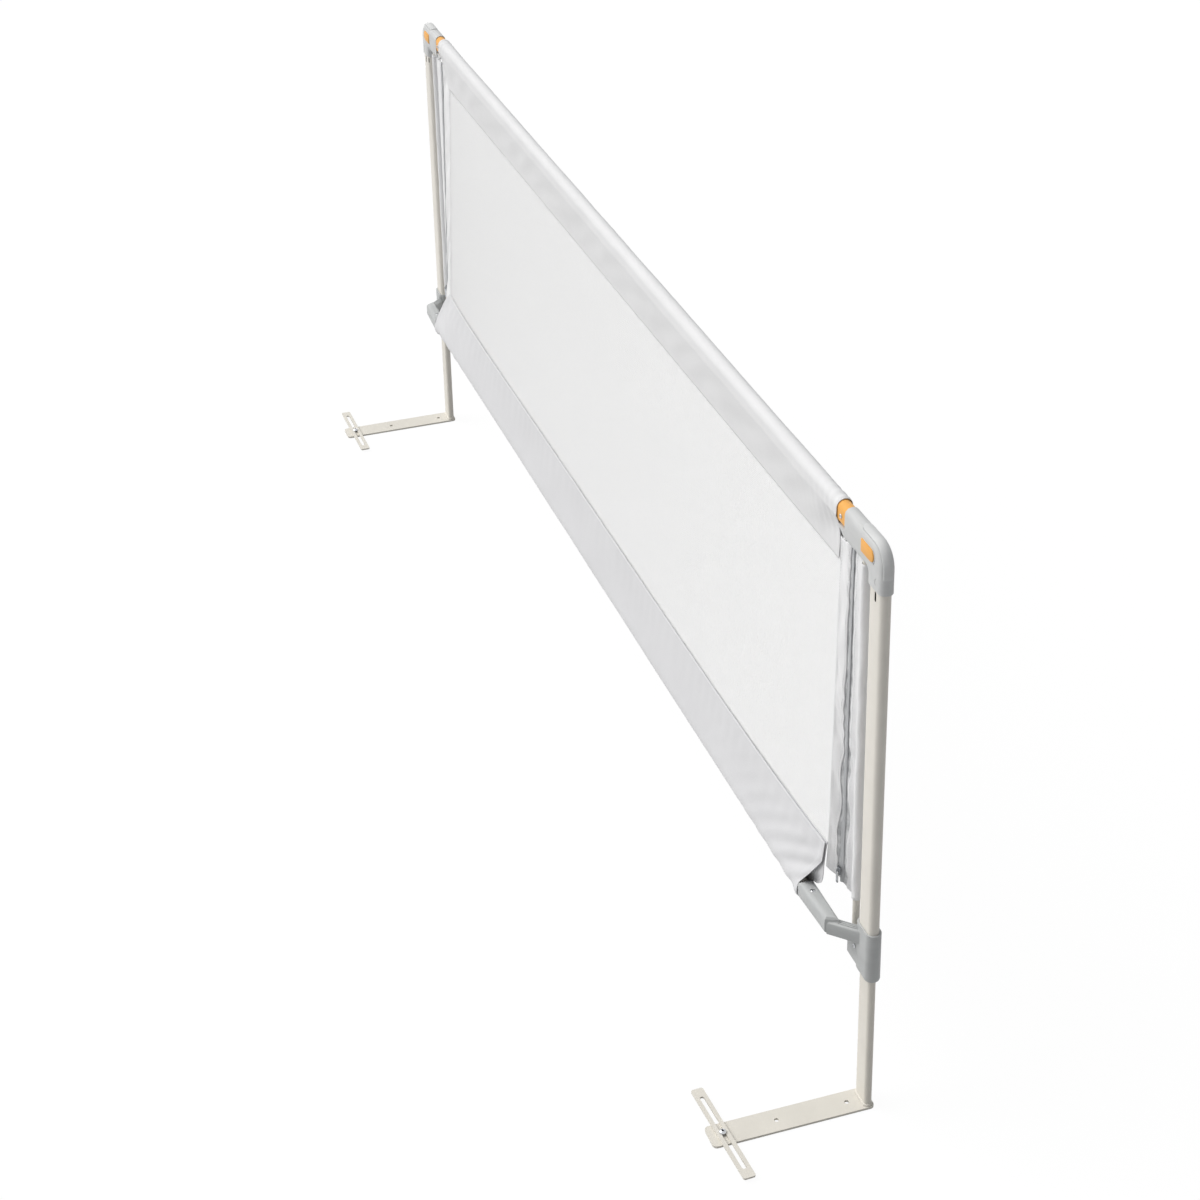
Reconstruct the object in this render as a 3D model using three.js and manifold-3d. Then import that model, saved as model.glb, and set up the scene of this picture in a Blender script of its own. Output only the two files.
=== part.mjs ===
// Folding bed guard rail. Two posts slide down over flat oval legs that are welded to foot plates,
// and carry a top tube, a lower tube on bent arms, and a net panel with zipped side flaps.
// Millimetres. X runs along the bed, -Y points to the mattress, Z is up from the floor.

import * as THREE from 'three';
import { mergeVertices } from 'three/addons/utils/BufferGeometryUtils.js';
import Module from 'manifold-3d';

const wasm = await Module();
wasm.setup();

// Whole rail: its length, and the three heights that the others hang from
const overallLength = 2000;
const housingTop = 790;
const legTop = 500;
const bracketBottom = 197;
const fit = 0.3;
const slideFit = 0.4;
const cutOver = 5;
const roundSteps = 6;
const bevelSteps = 2;
const mouldSteps = 3;

// Posts and legs, flat oval tubes
const postWidth = 36;
const postDepth = 14.5;
const postWall = 1.2;
const legWidth = 31;
const legDepth = 10.5;
const legWall = 1.5;
const postDrop = 30;
const postSlotWidth = 4.4;
const postSlotHeight = 13;
const postSlotDrop = 3;
const postSlotOffset = 1.5;
const edgeSlotOffset = 14;
const edgeSlotHeight = 9;

// Foot plates
const plateThick = 3;
const plateWidth = 36;
const plateReach = 203;
const plateBehind = 7.5;
const plateCorner = 6;
const screwHole = 6.2;
const nearHole = 22.5;
const farHole = 115;
const boltInset = 18;
const weldSize = 1.6;

// Slotted bars on the plate ends
const barLength = 160;
const barWidth = 16;
const barThick = 2.5;
const barCorner = 3;
const barSlotLength = 130;
const barSlotWidth = 5.6;
const barTurnRight = 3.1;
const barTurnLeft = 0.6;
const boltShank = 4.8;
const boltHead = 9.4;
const boltHeadHeight = 3.4;
const boltSocket = 3.4;
const boltSocketDepth = 1.6;

// Guide on top of each leg
const guideHeight = 9;
const guidePlug = 14;
const guideSlotWidth = 17;
const guideSlotDepth = 3.6;
const guideEdge = 1;
const guideLap = 1;
const guideSteps = 5;

// Corner housings
const housingDepth = 18;
const housingWall = 2;
const housingHeight = 58;
const armHeight = 43;
const armReach = 82;
const outerCorner = 28;
const innerCorner = 6;
const housingEdge = 8;
const housingSteps = 3;
const housingRoundSteps = 5;
const tongueRise = 10;
const tongueTip = 1;
const tongueSlant = 2;
const markDepth = 0.8;
const markWidth = 1.1;
const markGap = 2;
const markTurn = 55;
const markSteps = 3;
const sleeveMarkX = 3;
const sleeveMarkDrop = 47;
const sleeveMarkRadius = 5;

// Trim cap round the outside of each housing
const capProud = 1;
const capThick = 2.6;
const capDepth = 13;
const capTopReach = 42;
const capFall = 38;

// Release buttons
const buttonLength = 33;
const buttonHeight = 16;
const buttonThick = 4;
const buttonProud = 1.5;
const buttonTravel = 2.5;
const buttonCentreX = -18;
const buttonDrop = 20;
const buttonEdge = 1;
const buttonLap = 1;
const buttonStem = 6;
const stemX = -9;
const stemReach = 12;

// Latch strips inside the posts
const latchWidth = 8;
const latchThick = 2.4;
const latchTravel = 3;
const latchDrop = 13;
const latchHang = 18;
const latchToothReach = 3;
const latchToothHeight = 8;
const latchTabHeight = 14;

// Top tube, its joiner and end collars
const topTubeHeight = 25;
const topTubeDepth = 14;
const topTubeDrop = 15.5;
const topTubeWall = 1.2;
const topTubeInHousing = 37;
const collarLength = 22;
const collarWall = 1.3;
const joinerLength = 160;
const joinerWall = 1.4;
const joinerSteps = 4;

// Lower tube on its arms
const lowTubeHeight = 19;
const lowTubeDepth = 12;
const lowTubeWall = 1.2;
const lowTubeY = -35;
const lowTubeRise = 53;
const lowTubeInArm = 58;

// Lower brackets
const bracketHeight = 69;
const bracketWall = 2.5;
const bracketFloor = 3;
const bracketEdge = 2.5;
const webThick = 16;
const webReach = 46;
const webHeight = 40;
const webEdge = 2.5;
const bracketArmReach = 112;
const bracketArmWidth = 20;
const bracketArmHeight = 25;
const bracketArmEdge = 6;
const elbowOuterX = -37;
const elbowInnerX = -29;
const elbowTuck = 3.5;
const strutWidth = 13.4;
const strutHeight = 19;
const strutEdge = 3;
const strutStartX = -39.8;
const strutRootX = -3;
const strutRootY = 1.6;
const grooveWidth = 1.2;
const groovePitch = 2.8;
const grooveDepth = 0.8;
const grooveShare = 0.5;
const armScrewRecess = 1.2;

// Side rods
const rodDiameter = 9;
const rodX = -39;
const rodInWeb = 21;
const rodInArm = 10;
const rodWall = 1;

// Small screws
const screwShank = 3;
const screwHead = 5.6;
const screwHeadHeight = 1.3;
const screwLength = 8;
const screwSides = 8;
const boreSides = 14;
const collarScrewInset = 11;
const armScrewInset = 23;
const webScrewX = -23;
const webScrewRise = 25;

// Fabric
const clothThick = 1.3;
const topSleeveLoose = 2.2;
const lowSleeveLoose = 1;
const topSleeveGap = 0.8;
const lowSleeveGap = 1.2;
const topSeamY = -3;
const topSeamDrop = 62.5;
const lowSeamMidY = -32;
const lowSeamEndY = -22;
const lowSeamMidRise = 88;
const seamHem = 12;
const sleevePucker = 1.1;
const puckerLength = 62;
const sleeveSections = 16;
const layerShares = [0, 0.1, 0.4, 1];
const bendOut = 0.45;
const bendIn = 2;
const netThick = 1;
const netStrand = 5;
const netColumns = 12;
const netRows = 4;
const flapDrop = 5;
const flapLowRise = 30;
const flapInnerRise = 56;
const flapRows = 12;
const flapColumns = 3;
const tunnelSides = 20;
const flapPucker = 1.2;
const flapPuckerPitch = 74;
const tunnelLoose = 0.6;
const zipShare = 0.56;
const tapeWidth = 14;
const tapeThick = 1;
const chainWidth = 4.2;
const chainThick = 2.4;

// Zip sliders
const sliderWidth = 7;
const sliderHeight = 11;
const sliderThick = 2.2;
const sliderSink = 2;
const sliderEdge = 0.5;
const pullWidth = 4.4;
const pullLength = 17;
const pullThick = 1.4;
const pullHole = 2.6;

// The net's ends from each post, and the lower seam's rise there: the panel is pulled towards the right
// end, and more so at its foot
const clothEdges = {
  right: { top: 105, low: 77, seamRise: 90 },
  left: { top: 145, low: 158, seamRise: 79 },
};

// Worked out once
const postX = overallLength / 2 - postWidth / 2 - housingWall;
const capInset = capThick - capProud;
const boltReach = plateReach - boltInset;
const collarScrewX = -armReach - collarScrewInset;
const armScrewX = -bracketArmReach + armScrewInset;
const topSleeveEnd = armReach + collarLength + topSleeveGap;
const lowSleeveEnd = bracketArmReach + lowSleeveGap;
const postTop = housingTop - postDrop;
const housingBottom = housingTop - housingHeight;
const armBottom = housingTop - armHeight;
const capBottom = housingTop - capFall;
const postSlotTop = housingBottom - postSlotDrop;
const buttonCentreZ = housingTop - buttonDrop;
const latchTop = housingTop - latchDrop;
const latchBottom = legTop - latchHang;
const topTubeZ = housingTop - topTubeDrop;
const bracketTop = bracketBottom + bracketHeight;
const bracketDepth = postDepth + (bracketWall + fit) * 2;
const webTop = bracketBottom + webHeight;
const webScrewZ = bracketBottom + webScrewRise;
const lowTubeZ = bracketBottom + lowTubeRise;
const bracketArmLow = lowTubeZ - bracketArmHeight / 2;
const leanStart = bracketArmHeight / 2 + fit * 3;
const topSeamZ = topTubeZ - topSeamDrop;
const lowSeamMidZ = lowTubeZ + lowSeamMidRise;
const flapTop = armBottom - flapDrop;
const flapLow = lowTubeZ + flapLowRise;
const flapLowInner = lowTubeZ + flapInnerRise;
const sliderBottom = flapLowInner - sliderSink;

// Materials
const paint = (color, roughness, metalness) => () =>
  new THREE.MeshStandardMaterial({ color, roughness, metalness });
const creamPaint = paint(0xe6e2d8, 0.38, 0.25);
const zincSteel = paint(0xb9bcc0, 0.3, 0.9);
const greyPlastic = paint(0xc6c9cb, 0.52, 0);
const palePlastic = paint(0xd3d6d8, 0.5, 0);
const orangePlastic = paint(0xf4b45e, 0.45, 0);
const darkPlastic = paint(0x4a4d50, 0.55, 0);
const greyCloth = paint(0xdcdee1, 0.9, 0);
const greyTape = paint(0xb4b7bb, 0.9, 0);
const whiteNet = paint(0xf4f5f6, 0.95, 0);

// Turns a closed mesh into a solid that can be joined and cut
function solid(geometry) {
  const bare = geometry.clone();
  bare.deleteAttribute('normal');
  bare.deleteAttribute('uv');
  const merged = mergeVertices(bare, 1e-4);
  return new wasm.Manifold(new wasm.Mesh({
    numProp: 3,
    vertProperties: new Float32Array(merged.attributes.position.array),
    triVerts: new Uint32Array(merged.index.array),
  }));
}

// Turns a solid back into a geometry
function geometryOf(body) {
  const mesh = body.getMesh();
  const geometry = new THREE.BufferGeometry();
  geometry.setAttribute('position', new THREE.BufferAttribute(new Float32Array(mesh.vertProperties), 3));
  geometry.setIndex(new THREE.BufferAttribute(new Uint32Array(mesh.triVerts), 1));
  return geometry;
}

function joined(...geometries) {
  return geometries.map(solid).reduce((whole, next) => whole.add(next));
}

function cut(body, ...geometries) {
  return geometries.map(solid).reduce((whole, next) => whole.subtract(next), body);
}

// A rectangle with round corners about a centre
function roundedRectangle(width, height, radius, centreX = 0, centreY = 0) {
  const x = width / 2;
  const y = height / 2;
  const shape = new THREE.Shape();
  shape.moveTo(centreX - x + radius, centreY - y);
  shape.absarc(centreX + x - radius, centreY - y + radius, radius, -Math.PI / 2, 0);
  shape.absarc(centreX + x - radius, centreY + y - radius, radius, 0, Math.PI / 2);
  shape.absarc(centreX - x + radius, centreY + y - radius, radius, Math.PI / 2, Math.PI);
  shape.absarc(centreX - x + radius, centreY - y + radius, radius, Math.PI, Math.PI * 3 / 2);
  shape.closePath();
  return shape;
}

// A flat oval: two half circles joined by straight sides along X
function ovalOutline(width, depth, centreX = 0) {
  const radius = depth / 2;
  const x = width / 2 - radius;
  const shape = new THREE.Shape();
  shape.absarc(centreX + x, 0, radius, -Math.PI / 2, Math.PI / 2);
  shape.absarc(centreX - x, 0, radius, Math.PI / 2, Math.PI * 3 / 2);
  shape.closePath();
  return shape;
}

// Extrudes an outline by a length, plain or with rounded end edges that keep the outline's own size
function plainExtrude(shape, length, steps) {
  return new THREE.ExtrudeGeometry(shape, { depth: length, bevelEnabled: false, curveSegments: steps });
}

function softExtrude(shape, length, edge, steps, edgeSteps) {
  const geometry = new THREE.ExtrudeGeometry(shape, {
    depth: length - edge * 2, bevelEnabled: true, bevelThickness: edge, bevelSize: edge,
    bevelOffset: -edge, bevelSegments: edgeSteps, curveSegments: steps,
  });
  return geometry.translate(0, 0, edge);
}

// An outline of the floor plan, extruded upwards between two heights
function upright(shape, low, high, steps = roundSteps) {
  return plainExtrude(shape, high - low, steps).translate(0, 0, low);
}

function softUpright(shape, low, high, edge, steps = roundSteps, edgeSteps = bevelSteps) {
  return softExtrude(shape, high - low, edge, steps, edgeSteps).translate(0, 0, low);
}

// An outline of the bed-side view (X, Z), extruded through a depth along Y
function through(shape, front, back, steps = roundSteps) {
  return plainExtrude(shape, back - front, steps).rotateX(Math.PI / 2).translate(0, back, 0);
}

function softThrough(shape, front, back, edge, steps = roundSteps, edgeSteps = bevelSteps) {
  return softExtrude(shape, back - front, edge, steps, edgeSteps).rotateX(Math.PI / 2).translate(0, back, 0);
}

// A flat oval standing on edge, extruded along X between two places
function alongX(height, depth, from, to, y, z, steps = roundSteps) {
  const shape = ovalOutline(height, depth);
  const geometry = plainExtrude(shape, to - from, steps);
  return geometry.rotateY(-Math.PI / 2).translate(to, y, z);
}

function box(x0, x1, y0, y1, z0, z1) {
  const geometry = new THREE.BoxGeometry(x1 - x0, y1 - y0, z1 - z0);
  return geometry.translate((x0 + x1) / 2, (y0 + y1) / 2, (z0 + z1) / 2);
}

function cylinderZ(diameter, low, high, x = 0, y = 0, sides = 20) {
  const geometry = new THREE.CylinderGeometry(diameter / 2, diameter / 2, high - low, sides);
  return geometry.rotateX(Math.PI / 2).translate(x, y, (low + high) / 2);
}

function cylinderY(diameter, front, back, x, z, sides = 14) {
  const geometry = new THREE.CylinderGeometry(diameter / 2, diameter / 2, back - front, sides);
  return geometry.translate(x, (front + back) / 2, z);
}

// A screw or bolt with a domed head, pointing down from the head's seat, revolved about Z
function domedScrew(head, headHeight, shank, length) {
  const profile = [new THREE.Vector2(0, -length), new THREE.Vector2(shank / 2, -length)];
  profile.push(new THREE.Vector2(shank / 2, 0), new THREE.Vector2(head / 2, 0));
  const steps = 3;
  for (let i = 0; i <= steps; i += 1) {
    const turn = (i / steps) * Math.PI / 2;
    const low = headHeight * 0.3;
    profile.push(new THREE.Vector2(head / 2 * Math.cos(turn), low + (headHeight - low) * Math.sin(turn)));
  }
  profile[profile.length - 1].x = 0;
  return new THREE.LatheGeometry(profile, screwSides).rotateX(Math.PI / 2);
}

// Bridges equal rings of points into a closed solid. Each section has an outer and an inner ring.
function lofted(sections) {
  const count = sections[0].outer.length;
  const positions = [];
  const index = [];
  for (const section of sections) {
    for (const point of [...section.outer, ...section.inner]) positions.push(...point);
  }
  const at = (s, ring, k) => s * count * 2 + ring * count + (k % count);
  const quad = (a, b, c, d) => index.push(a, b, c, a, c, d);
  for (let s = 0; s < sections.length - 1; s += 1) {
    for (let k = 0; k < count; k += 1) {
      quad(at(s, 0, k), at(s, 0, k + 1), at(s + 1, 0, k + 1), at(s + 1, 0, k));
      quad(at(s, 1, k), at(s + 1, 1, k), at(s + 1, 1, k + 1), at(s, 1, k + 1));
    }
  }
  const last = sections.length - 1;
  for (let k = 0; k < count; k += 1) {
    quad(at(0, 0, k), at(0, 1, k), at(0, 1, k + 1), at(0, 0, k + 1));
    quad(at(last, 0, k), at(last, 0, k + 1), at(last, 1, k + 1), at(last, 1, k));
  }
  const geometry = new THREE.BufferGeometry();
  geometry.setAttribute('position', new THREE.BufferAttribute(new Float32Array(positions), 3));
  geometry.setIndex(index);
  return geometry;
}

// A sheet with a thickness along Y. Its columns are shares of its width with the thickness there,
// and place(u, v) gives a point of its middle.
function sheet(profile, rows, place) {
  const positions = [];
  const index = [];
  const columns = profile.length - 1;
  const wide = columns + 1;
  const layer = wide * (rows + 1);
  for (const side of [-1, 1]) {
    for (let r = 0; r <= rows; r += 1) {
      for (let c = 0; c <= columns; c += 1) {
        const [share, thick] = profile[c];
        const point = place(share, r / rows);
        positions.push(point.x, point.y + side * thick / 2, point.z);
      }
    }
  }
  const quad = (a, b, c, d) => index.push(a, b, c, a, c, d);
  const at = (side, c, r) => side * layer + r * wide + c;
  for (let r = 0; r < rows; r += 1) {
    for (let c = 0; c < columns; c += 1) {
      quad(at(0, c, r), at(0, c + 1, r), at(0, c + 1, r + 1), at(0, c, r + 1));
      quad(at(1, c, r), at(1, c, r + 1), at(1, c + 1, r + 1), at(1, c + 1, r));
    }
    quad(at(0, 0, r), at(0, 0, r + 1), at(1, 0, r + 1), at(1, 0, r));
    quad(at(0, columns, r), at(1, columns, r), at(1, columns, r + 1), at(0, columns, r + 1));
  }
  for (let c = 0; c < columns; c += 1) {
    quad(at(0, c, 0), at(1, c, 0), at(1, c + 1, 0), at(0, c + 1, 0));
    quad(at(0, c, rows), at(0, c + 1, rows), at(1, c + 1, rows), at(1, c, rows));
  }
  const geometry = new THREE.BufferGeometry();
  geometry.setAttribute('position', new THREE.BufferAttribute(new Float32Array(positions), 3));
  geometry.setIndex(index);
  return geometry;
}

function evenProfile(columns, thick) {
  return Array.from({ length: columns + 1 }, (unused, c) => [c / columns, thick]);
}

// Foot plate with two screw holes, the bolt hole and the weld round the leg
function footPlate() {
  const length = plateReach + plateBehind;
  const outline = roundedRectangle(plateWidth, length, plateCorner, 0, (plateBehind - plateReach) / 2);
  const holes = [[nearHole, screwHole], [farHole, screwHole], [boltReach, boltShank + fit * 2]];
  for (const [reach, size] of holes) {
    const hole = new THREE.Path();
    hole.absarc(0, -reach, size / 2, 0, Math.PI * 2);
    outline.holes.push(hole);
  }
  return upright(outline, 0, plateThick, 6);
}

// Leg tube with its flared weld bead at the plate
function legTube() {
  const outer = upright(ovalOutline(legWidth, legDepth), plateThick + fit, legTop);
  const bead = new THREE.ExtrudeGeometry(ovalOutline(legWidth, legDepth), {
    depth: weldSize / 2, bevelEnabled: true, bevelThickness: weldSize, bevelSize: weldSize,
    bevelOffset: 0, bevelSegments: 2, curveSegments: roundSteps,
  }).translate(0, 0, plateThick + fit);
  const foot = plateThick + fit;
  const below = box(-legWidth, legWidth, -legWidth, legWidth, foot - weldSize - cutOver, foot);
  const hollow = upright(ovalOutline(legWidth - legWall * 2, legDepth - legWall * 2), foot - cutOver,
    legTop + cutOver);
  return geometryOf(cut(joined(outer, bead), below, hollow));
}

// Plastic guide: a flange that runs in the post and a plug in the leg, with the latch strip's slot
function legGuide() {
  const innerWidth = postWidth - postWall * 2;
  const innerDepth = postDepth - postWall * 2;
  const flange = softUpright(ovalOutline(innerWidth - slideFit * 2, innerDepth - slideFit * 2), legTop + fit,
    legTop + fit + guideHeight, guideEdge, guideSteps);
  const plug = upright(ovalOutline(legWidth - (legWall + fit) * 2, legDepth - (legWall + fit) * 2),
    legTop - guidePlug, legTop + fit + guideLap, guideSteps);
  const slot = box(-guideSlotWidth / 2, guideSlotWidth / 2, -guideSlotDepth / 2, guideSlotDepth / 2,
    legTop - guidePlug - cutOver, legTop + guideHeight + cutOver);
  return geometryOf(cut(joined(flange, plug), slot));
}

// Slotted bar that lies across the plate's end
function slottedBar() {
  const outline = roundedRectangle(barLength, barWidth, barCorner);
  outline.holes.push(ovalOutline(barSlotLength, barSlotWidth));
  return upright(outline, 0, barThick, 5);
}

// Bolt with a hexagon socket, its shank ending inside the plate
function barBolt() {
  const bolt = domedScrew(boltHead, boltHeadHeight, boltShank, barThick + plateThick + fit);
  const socket = new THREE.CylinderGeometry(boltSocket / 2, boltSocket / 2, boltSocketDepth + cutOver, 6)
    .rotateX(Math.PI / 2).translate(0, 0, boltHeadHeight - boltSocketDepth + (boltSocketDepth + cutOver) / 2);
  return geometryOf(cut(solid(bolt), socket));
}

// Post tube with its two slots just under the housing
function postTube() {
  const low = bracketBottom + bracketFloor + fit;
  const outer = upright(ovalOutline(postWidth, postDepth), low, postTop);
  const hollow = upright(ovalOutline(postWidth - postWall * 2, postDepth - postWall * 2), low - cutOver,
    postTop + cutOver);
  const slot = through(ovalOutline(postSlotHeight, postSlotWidth), -postDepth, 0)
    .rotateY(Math.PI / 2).translate(postSlotOffset, 0, postSlotTop - postSlotHeight / 2);
  const edgeSlot = through(ovalOutline(edgeSlotHeight, postSlotWidth / 2), -postDepth, 0)
    .rotateY(Math.PI / 2).translate(-edgeSlotOffset, 0, postSlotTop - edgeSlotHeight / 2);
  return geometryOf(cut(solid(outer), hollow, slot, edgeSlot));
}

// The housing's outline from the bed side: an arm, a round outer corner and a sleeve over the post. Its two
// ends run past the housing, so that they can be cut off flat.
function housingOutline(grow) {
  const side = postWidth / 2 + housingWall + grow;
  const armEnd = -armReach - housingEdge * 2;
  const low = housingBottom - housingEdge * 2;
  const top = housingTop + grow;
  const under = armBottom - grow;
  const inner = innerCorner - grow;
  const outer = outerCorner + grow;
  const shape = new THREE.Shape();
  shape.moveTo(armEnd, under);
  shape.lineTo(-side - inner, under);
  shape.absarc(-side - inner, under - inner, inner, Math.PI / 2, 0, true);
  shape.lineTo(-side, low);
  shape.lineTo(side, low);
  shape.absarc(side - outer, top - outer, outer, 0, Math.PI / 2);
  shape.lineTo(armEnd, top);
  shape.closePath();
  return shape;
}

// The housing's rounded body before its sockets are cut, grown or shrunk all round
function housingBody(grow = 0) {
  const half = housingDepth / 2 + grow;
  return solid(softThrough(housingOutline(grow), -half, half, housingEdge + grow, housingRoundSteps,
    housingSteps));
}

// The cap from above: straight sides and a round end on top of the arm
function capPlan(grow = 0) {
  const end = postWidth / 2 + housingWall + capProud + cutOver;
  const radius = capDepth / 2;
  const shape = new THREE.Shape();
  shape.moveTo(end, radius + grow);
  shape.lineTo(-capTopReach + radius, radius + grow);
  shape.absarc(-capTopReach + radius, 0, radius + grow, Math.PI / 2, Math.PI * 3 / 2);
  shape.lineTo(end, -radius - grow);
  shape.closePath();
  return upright(shape, capBottom - grow, housingTop + capProud + cutOver);
}

// The button's outline: square towards the rail, round towards the corner
function buttonOutline(grow = 0) {
  const radius = buttonHeight / 2 + grow;
  const flatEnd = buttonCentreX - buttonLength / 2 - grow;
  const roundCentre = buttonCentreX + buttonLength / 2 - buttonHeight / 2;
  const shape = new THREE.Shape();
  shape.moveTo(flatEnd, buttonCentreZ - radius);
  shape.lineTo(roundCentre, buttonCentreZ - radius);
  shape.absarc(roundCentre, buttonCentreZ, radius, -Math.PI / 2, Math.PI / 2);
  shape.lineTo(flatEnd, buttonCentreZ + radius);
  shape.closePath();
  return shape;
}

// The wedge under the collar that closes the arm's lower edge
function tongue() {
  const top = topTubeZ - topTubeHeight / 2 - collarWall - fit * 2;
  const shape = new THREE.Shape();
  shape.moveTo(-armReach, armBottom);
  shape.lineTo(-armReach, top);
  shape.lineTo(-armReach - collarLength, top);
  shape.lineTo(-armReach - collarLength, top - tongueTip);
  shape.lineTo(-armReach - collarLength + tongueSlant, armBottom + tongueRise);
  shape.closePath();
  return through(shape, -topTubeDepth / 2, topTubeDepth / 2);
}

// A shallow curved mark in the housing's face: part of a ring round a middle, on its +X or -X side
function curvedMark(x, z, radius, side) {
  const middle = side > 0 ? 0 : Math.PI;
  const from = middle - THREE.MathUtils.degToRad(markTurn);
  const to = middle + THREE.MathUtils.degToRad(markTurn);
  const shape = new THREE.Shape();
  shape.moveTo(x + radius * Math.cos(from), z + radius * Math.sin(from));
  shape.lineTo(x + (radius + markWidth) * Math.cos(from), z + (radius + markWidth) * Math.sin(from));
  shape.absarc(x, z, radius + markWidth, from, to);
  shape.lineTo(x + radius * Math.cos(to), z + radius * Math.sin(to));
  shape.absarc(x, z, radius, to, from, true);
  shape.closePath();
  return through(shape, -housingDepth / 2 - cutOver, -housingDepth / 2 + markDepth, markSteps);
}

// The cap as a shell of the housing's body, over the arm's top and round the outer corner
function capShell(grow) {
  const shell = housingBody(capProud).subtract(housingBody(-capInset - grow));
  const under = box(-armReach, 0, -housingDepth, housingDepth, housingBottom, housingTop - housingEdge * 2);
  return shell.intersect(solid(capPlan(grow))).subtract(solid(under));
}

function cornerHousing() {
  const half = housingDepth / 2;
  const past = housingEdge * 2 + cutOver;
  const beyondArm = box(-armReach - past, -armReach, -half - cutOver, half + cutOver, armBottom - cutOver,
    housingTop + cutOver);
  const below = box(-postWidth, postWidth, -half - cutOver, half + cutOver, housingBottom - past,
    housingBottom);
  const body = geometryOf(cut(housingBody(), beyondArm, below));
  const postSocket = upright(ovalOutline(postWidth + fit * 2, postDepth + fit * 2), housingBottom - cutOver,
    postTop + fit);
  const tubeSocket = alongX(topTubeHeight + fit * 2, topTubeDepth + fit * 2, -armReach - cutOver,
    -armReach + topTubeInHousing + fit, 0, topTubeZ);
  const rodSocket = cylinderZ(rodDiameter + fit * 2, armBottom - cutOver, armBottom + rodInArm + fit, rodX,
    0);
  const pocketFloor = -half - buttonProud + buttonThick + buttonTravel + fit;
  const buttonPocket = through(buttonOutline(fit), -half - cutOver, pocketFloor);
  const stemHalf = buttonStem / 2 + fit;
  const stemRoom = box(stemX - stemHalf, stemX + stemHalf, -half, stemReach - half + buttonTravel,
    buttonCentreZ - stemHalf, buttonCentreZ + stemHalf);
  const latchRoom = box(stemX - buttonStem - latchTravel, latchWidth / 2 + latchTravel + fit * 2,
    -latchThick / 2 - fit, latchThick / 2 + fit, postTop, latchTop + fit);
  const roundEnd = buttonCentreX + buttonLength / 2 - buttonHeight / 2;
  const buttonMark = curvedMark(roundEnd, buttonCentreZ, buttonHeight / 2 + markGap, 1);
  const markX = sleeveMarkX + sleeveMarkRadius;
  const sleeveMark = curvedMark(markX, housingTop - sleeveMarkDrop, sleeveMarkRadius, -1);
  const sockets = [postSocket, tubeSocket, rodSocket, buttonPocket, stemRoom, latchRoom];
  const whole = cut(joined(body, tongue()), ...sockets, buttonMark, sleeveMark);
  return geometryOf(whole.subtract(capShell(fit)));
}

function cornerCap() {
  return geometryOf(capShell(0));
}

function releaseButton() {
  const front = -housingDepth / 2 - buttonProud;
  const plate = softThrough(buttonOutline(), front, front + buttonThick, buttonEdge);
  const stem = box(stemX - buttonStem / 2, stemX + buttonStem / 2, front + buttonThick - buttonLap, front + stemReach,
    buttonCentreZ - buttonStem / 2, buttonCentreZ + buttonStem / 2);
  return geometryOf(joined(plate, stem));
}

// Flat strip that hangs in the post, with a window round the button's stem and a catch tooth near its end
function latchStrip() {
  const half = latchThick / 2;
  const strip = box(-latchWidth / 2, latchWidth / 2, -half, half, latchBottom, latchTop);
  const tab = box(stemX - buttonStem, latchWidth / 2, -half, half, latchTop - latchTabHeight, latchTop);
  const window = box(stemX - buttonStem - cutOver, stemX + buttonStem / 2 + fit, -half - cutOver, half + cutOver,
    buttonCentreZ - buttonStem / 2 - fit, buttonCentreZ + buttonStem / 2 + fit);
  const toothTop = latchBottom + latchToothHeight;
  const tooth = box(-latchWidth / 2 - latchToothReach, latchWidth / 2, -half, half, latchBottom, toothTop);
  return geometryOf(cut(joined(strip, tab, tooth), window));
}

// Collar over the end of the top tube
function tubeCollar() {
  const from = -armReach - collarLength;
  const to = -armReach - fit;
  const around = (collarWall + fit) * 2;
  const ring = alongX(topTubeHeight + around, topTubeDepth + around, from, to, 0, topTubeZ);
  const bore = alongX(topTubeHeight + fit * 2, topTubeDepth + fit * 2, from - cutOver, to + cutOver, 0, topTubeZ);
  const hole = cylinderY(screwShank + fit * 2, -housingDepth, 0, collarScrewX, topTubeZ);
  return geometryOf(cut(solid(ring), bore, hole));
}

function collarScrew() {
  const seat = -topTubeDepth / 2 - collarWall - fit * 2;
  return domedScrew(screwHead, screwHeadHeight, screwShank, screwLength)
    .rotateX(Math.PI / 2).translate(collarScrewX, seat, topTubeZ);
}

// Lower bracket: a sleeve round the post's foot, a web that holds the side rod, and an arm on a strut.
// The arm from above: straight along the lower tube, drawn in a little towards its slanted elbow end
function bracketArmOutline() {
  const half = bracketArmWidth / 2;
  const shape = new THREE.Shape();
  shape.moveTo(-bracketArmReach, lowTubeY - half);
  shape.lineTo(elbowOuterX, lowTubeY - half + elbowTuck);
  shape.lineTo(elbowInnerX, lowTubeY + half);
  shape.lineTo(-bracketArmReach, lowTubeY + half);
  shape.closePath();
  return shape;
}

// A bar from above, from the elbow to the post's sleeve, between two shares of its length and width
function strutBar(fromShare, toShare, width, offset = 0) {
  const start = new THREE.Vector2(strutStartX, lowTubeY);
  const along = new THREE.Vector2(strutRootX, strutRootY).sub(start);
  const side = new THREE.Vector2(-along.y, along.x).normalize();
  const corner = (share, across) => {
    return start.clone().addScaledVector(along, share).addScaledVector(side, across);
  };
  return new THREE.Shape([
    corner(fromShare, offset - width / 2), corner(toShare, offset - width / 2),
    corner(toShare, offset + width / 2), corner(fromShare, offset + width / 2),
  ]);
}

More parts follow.
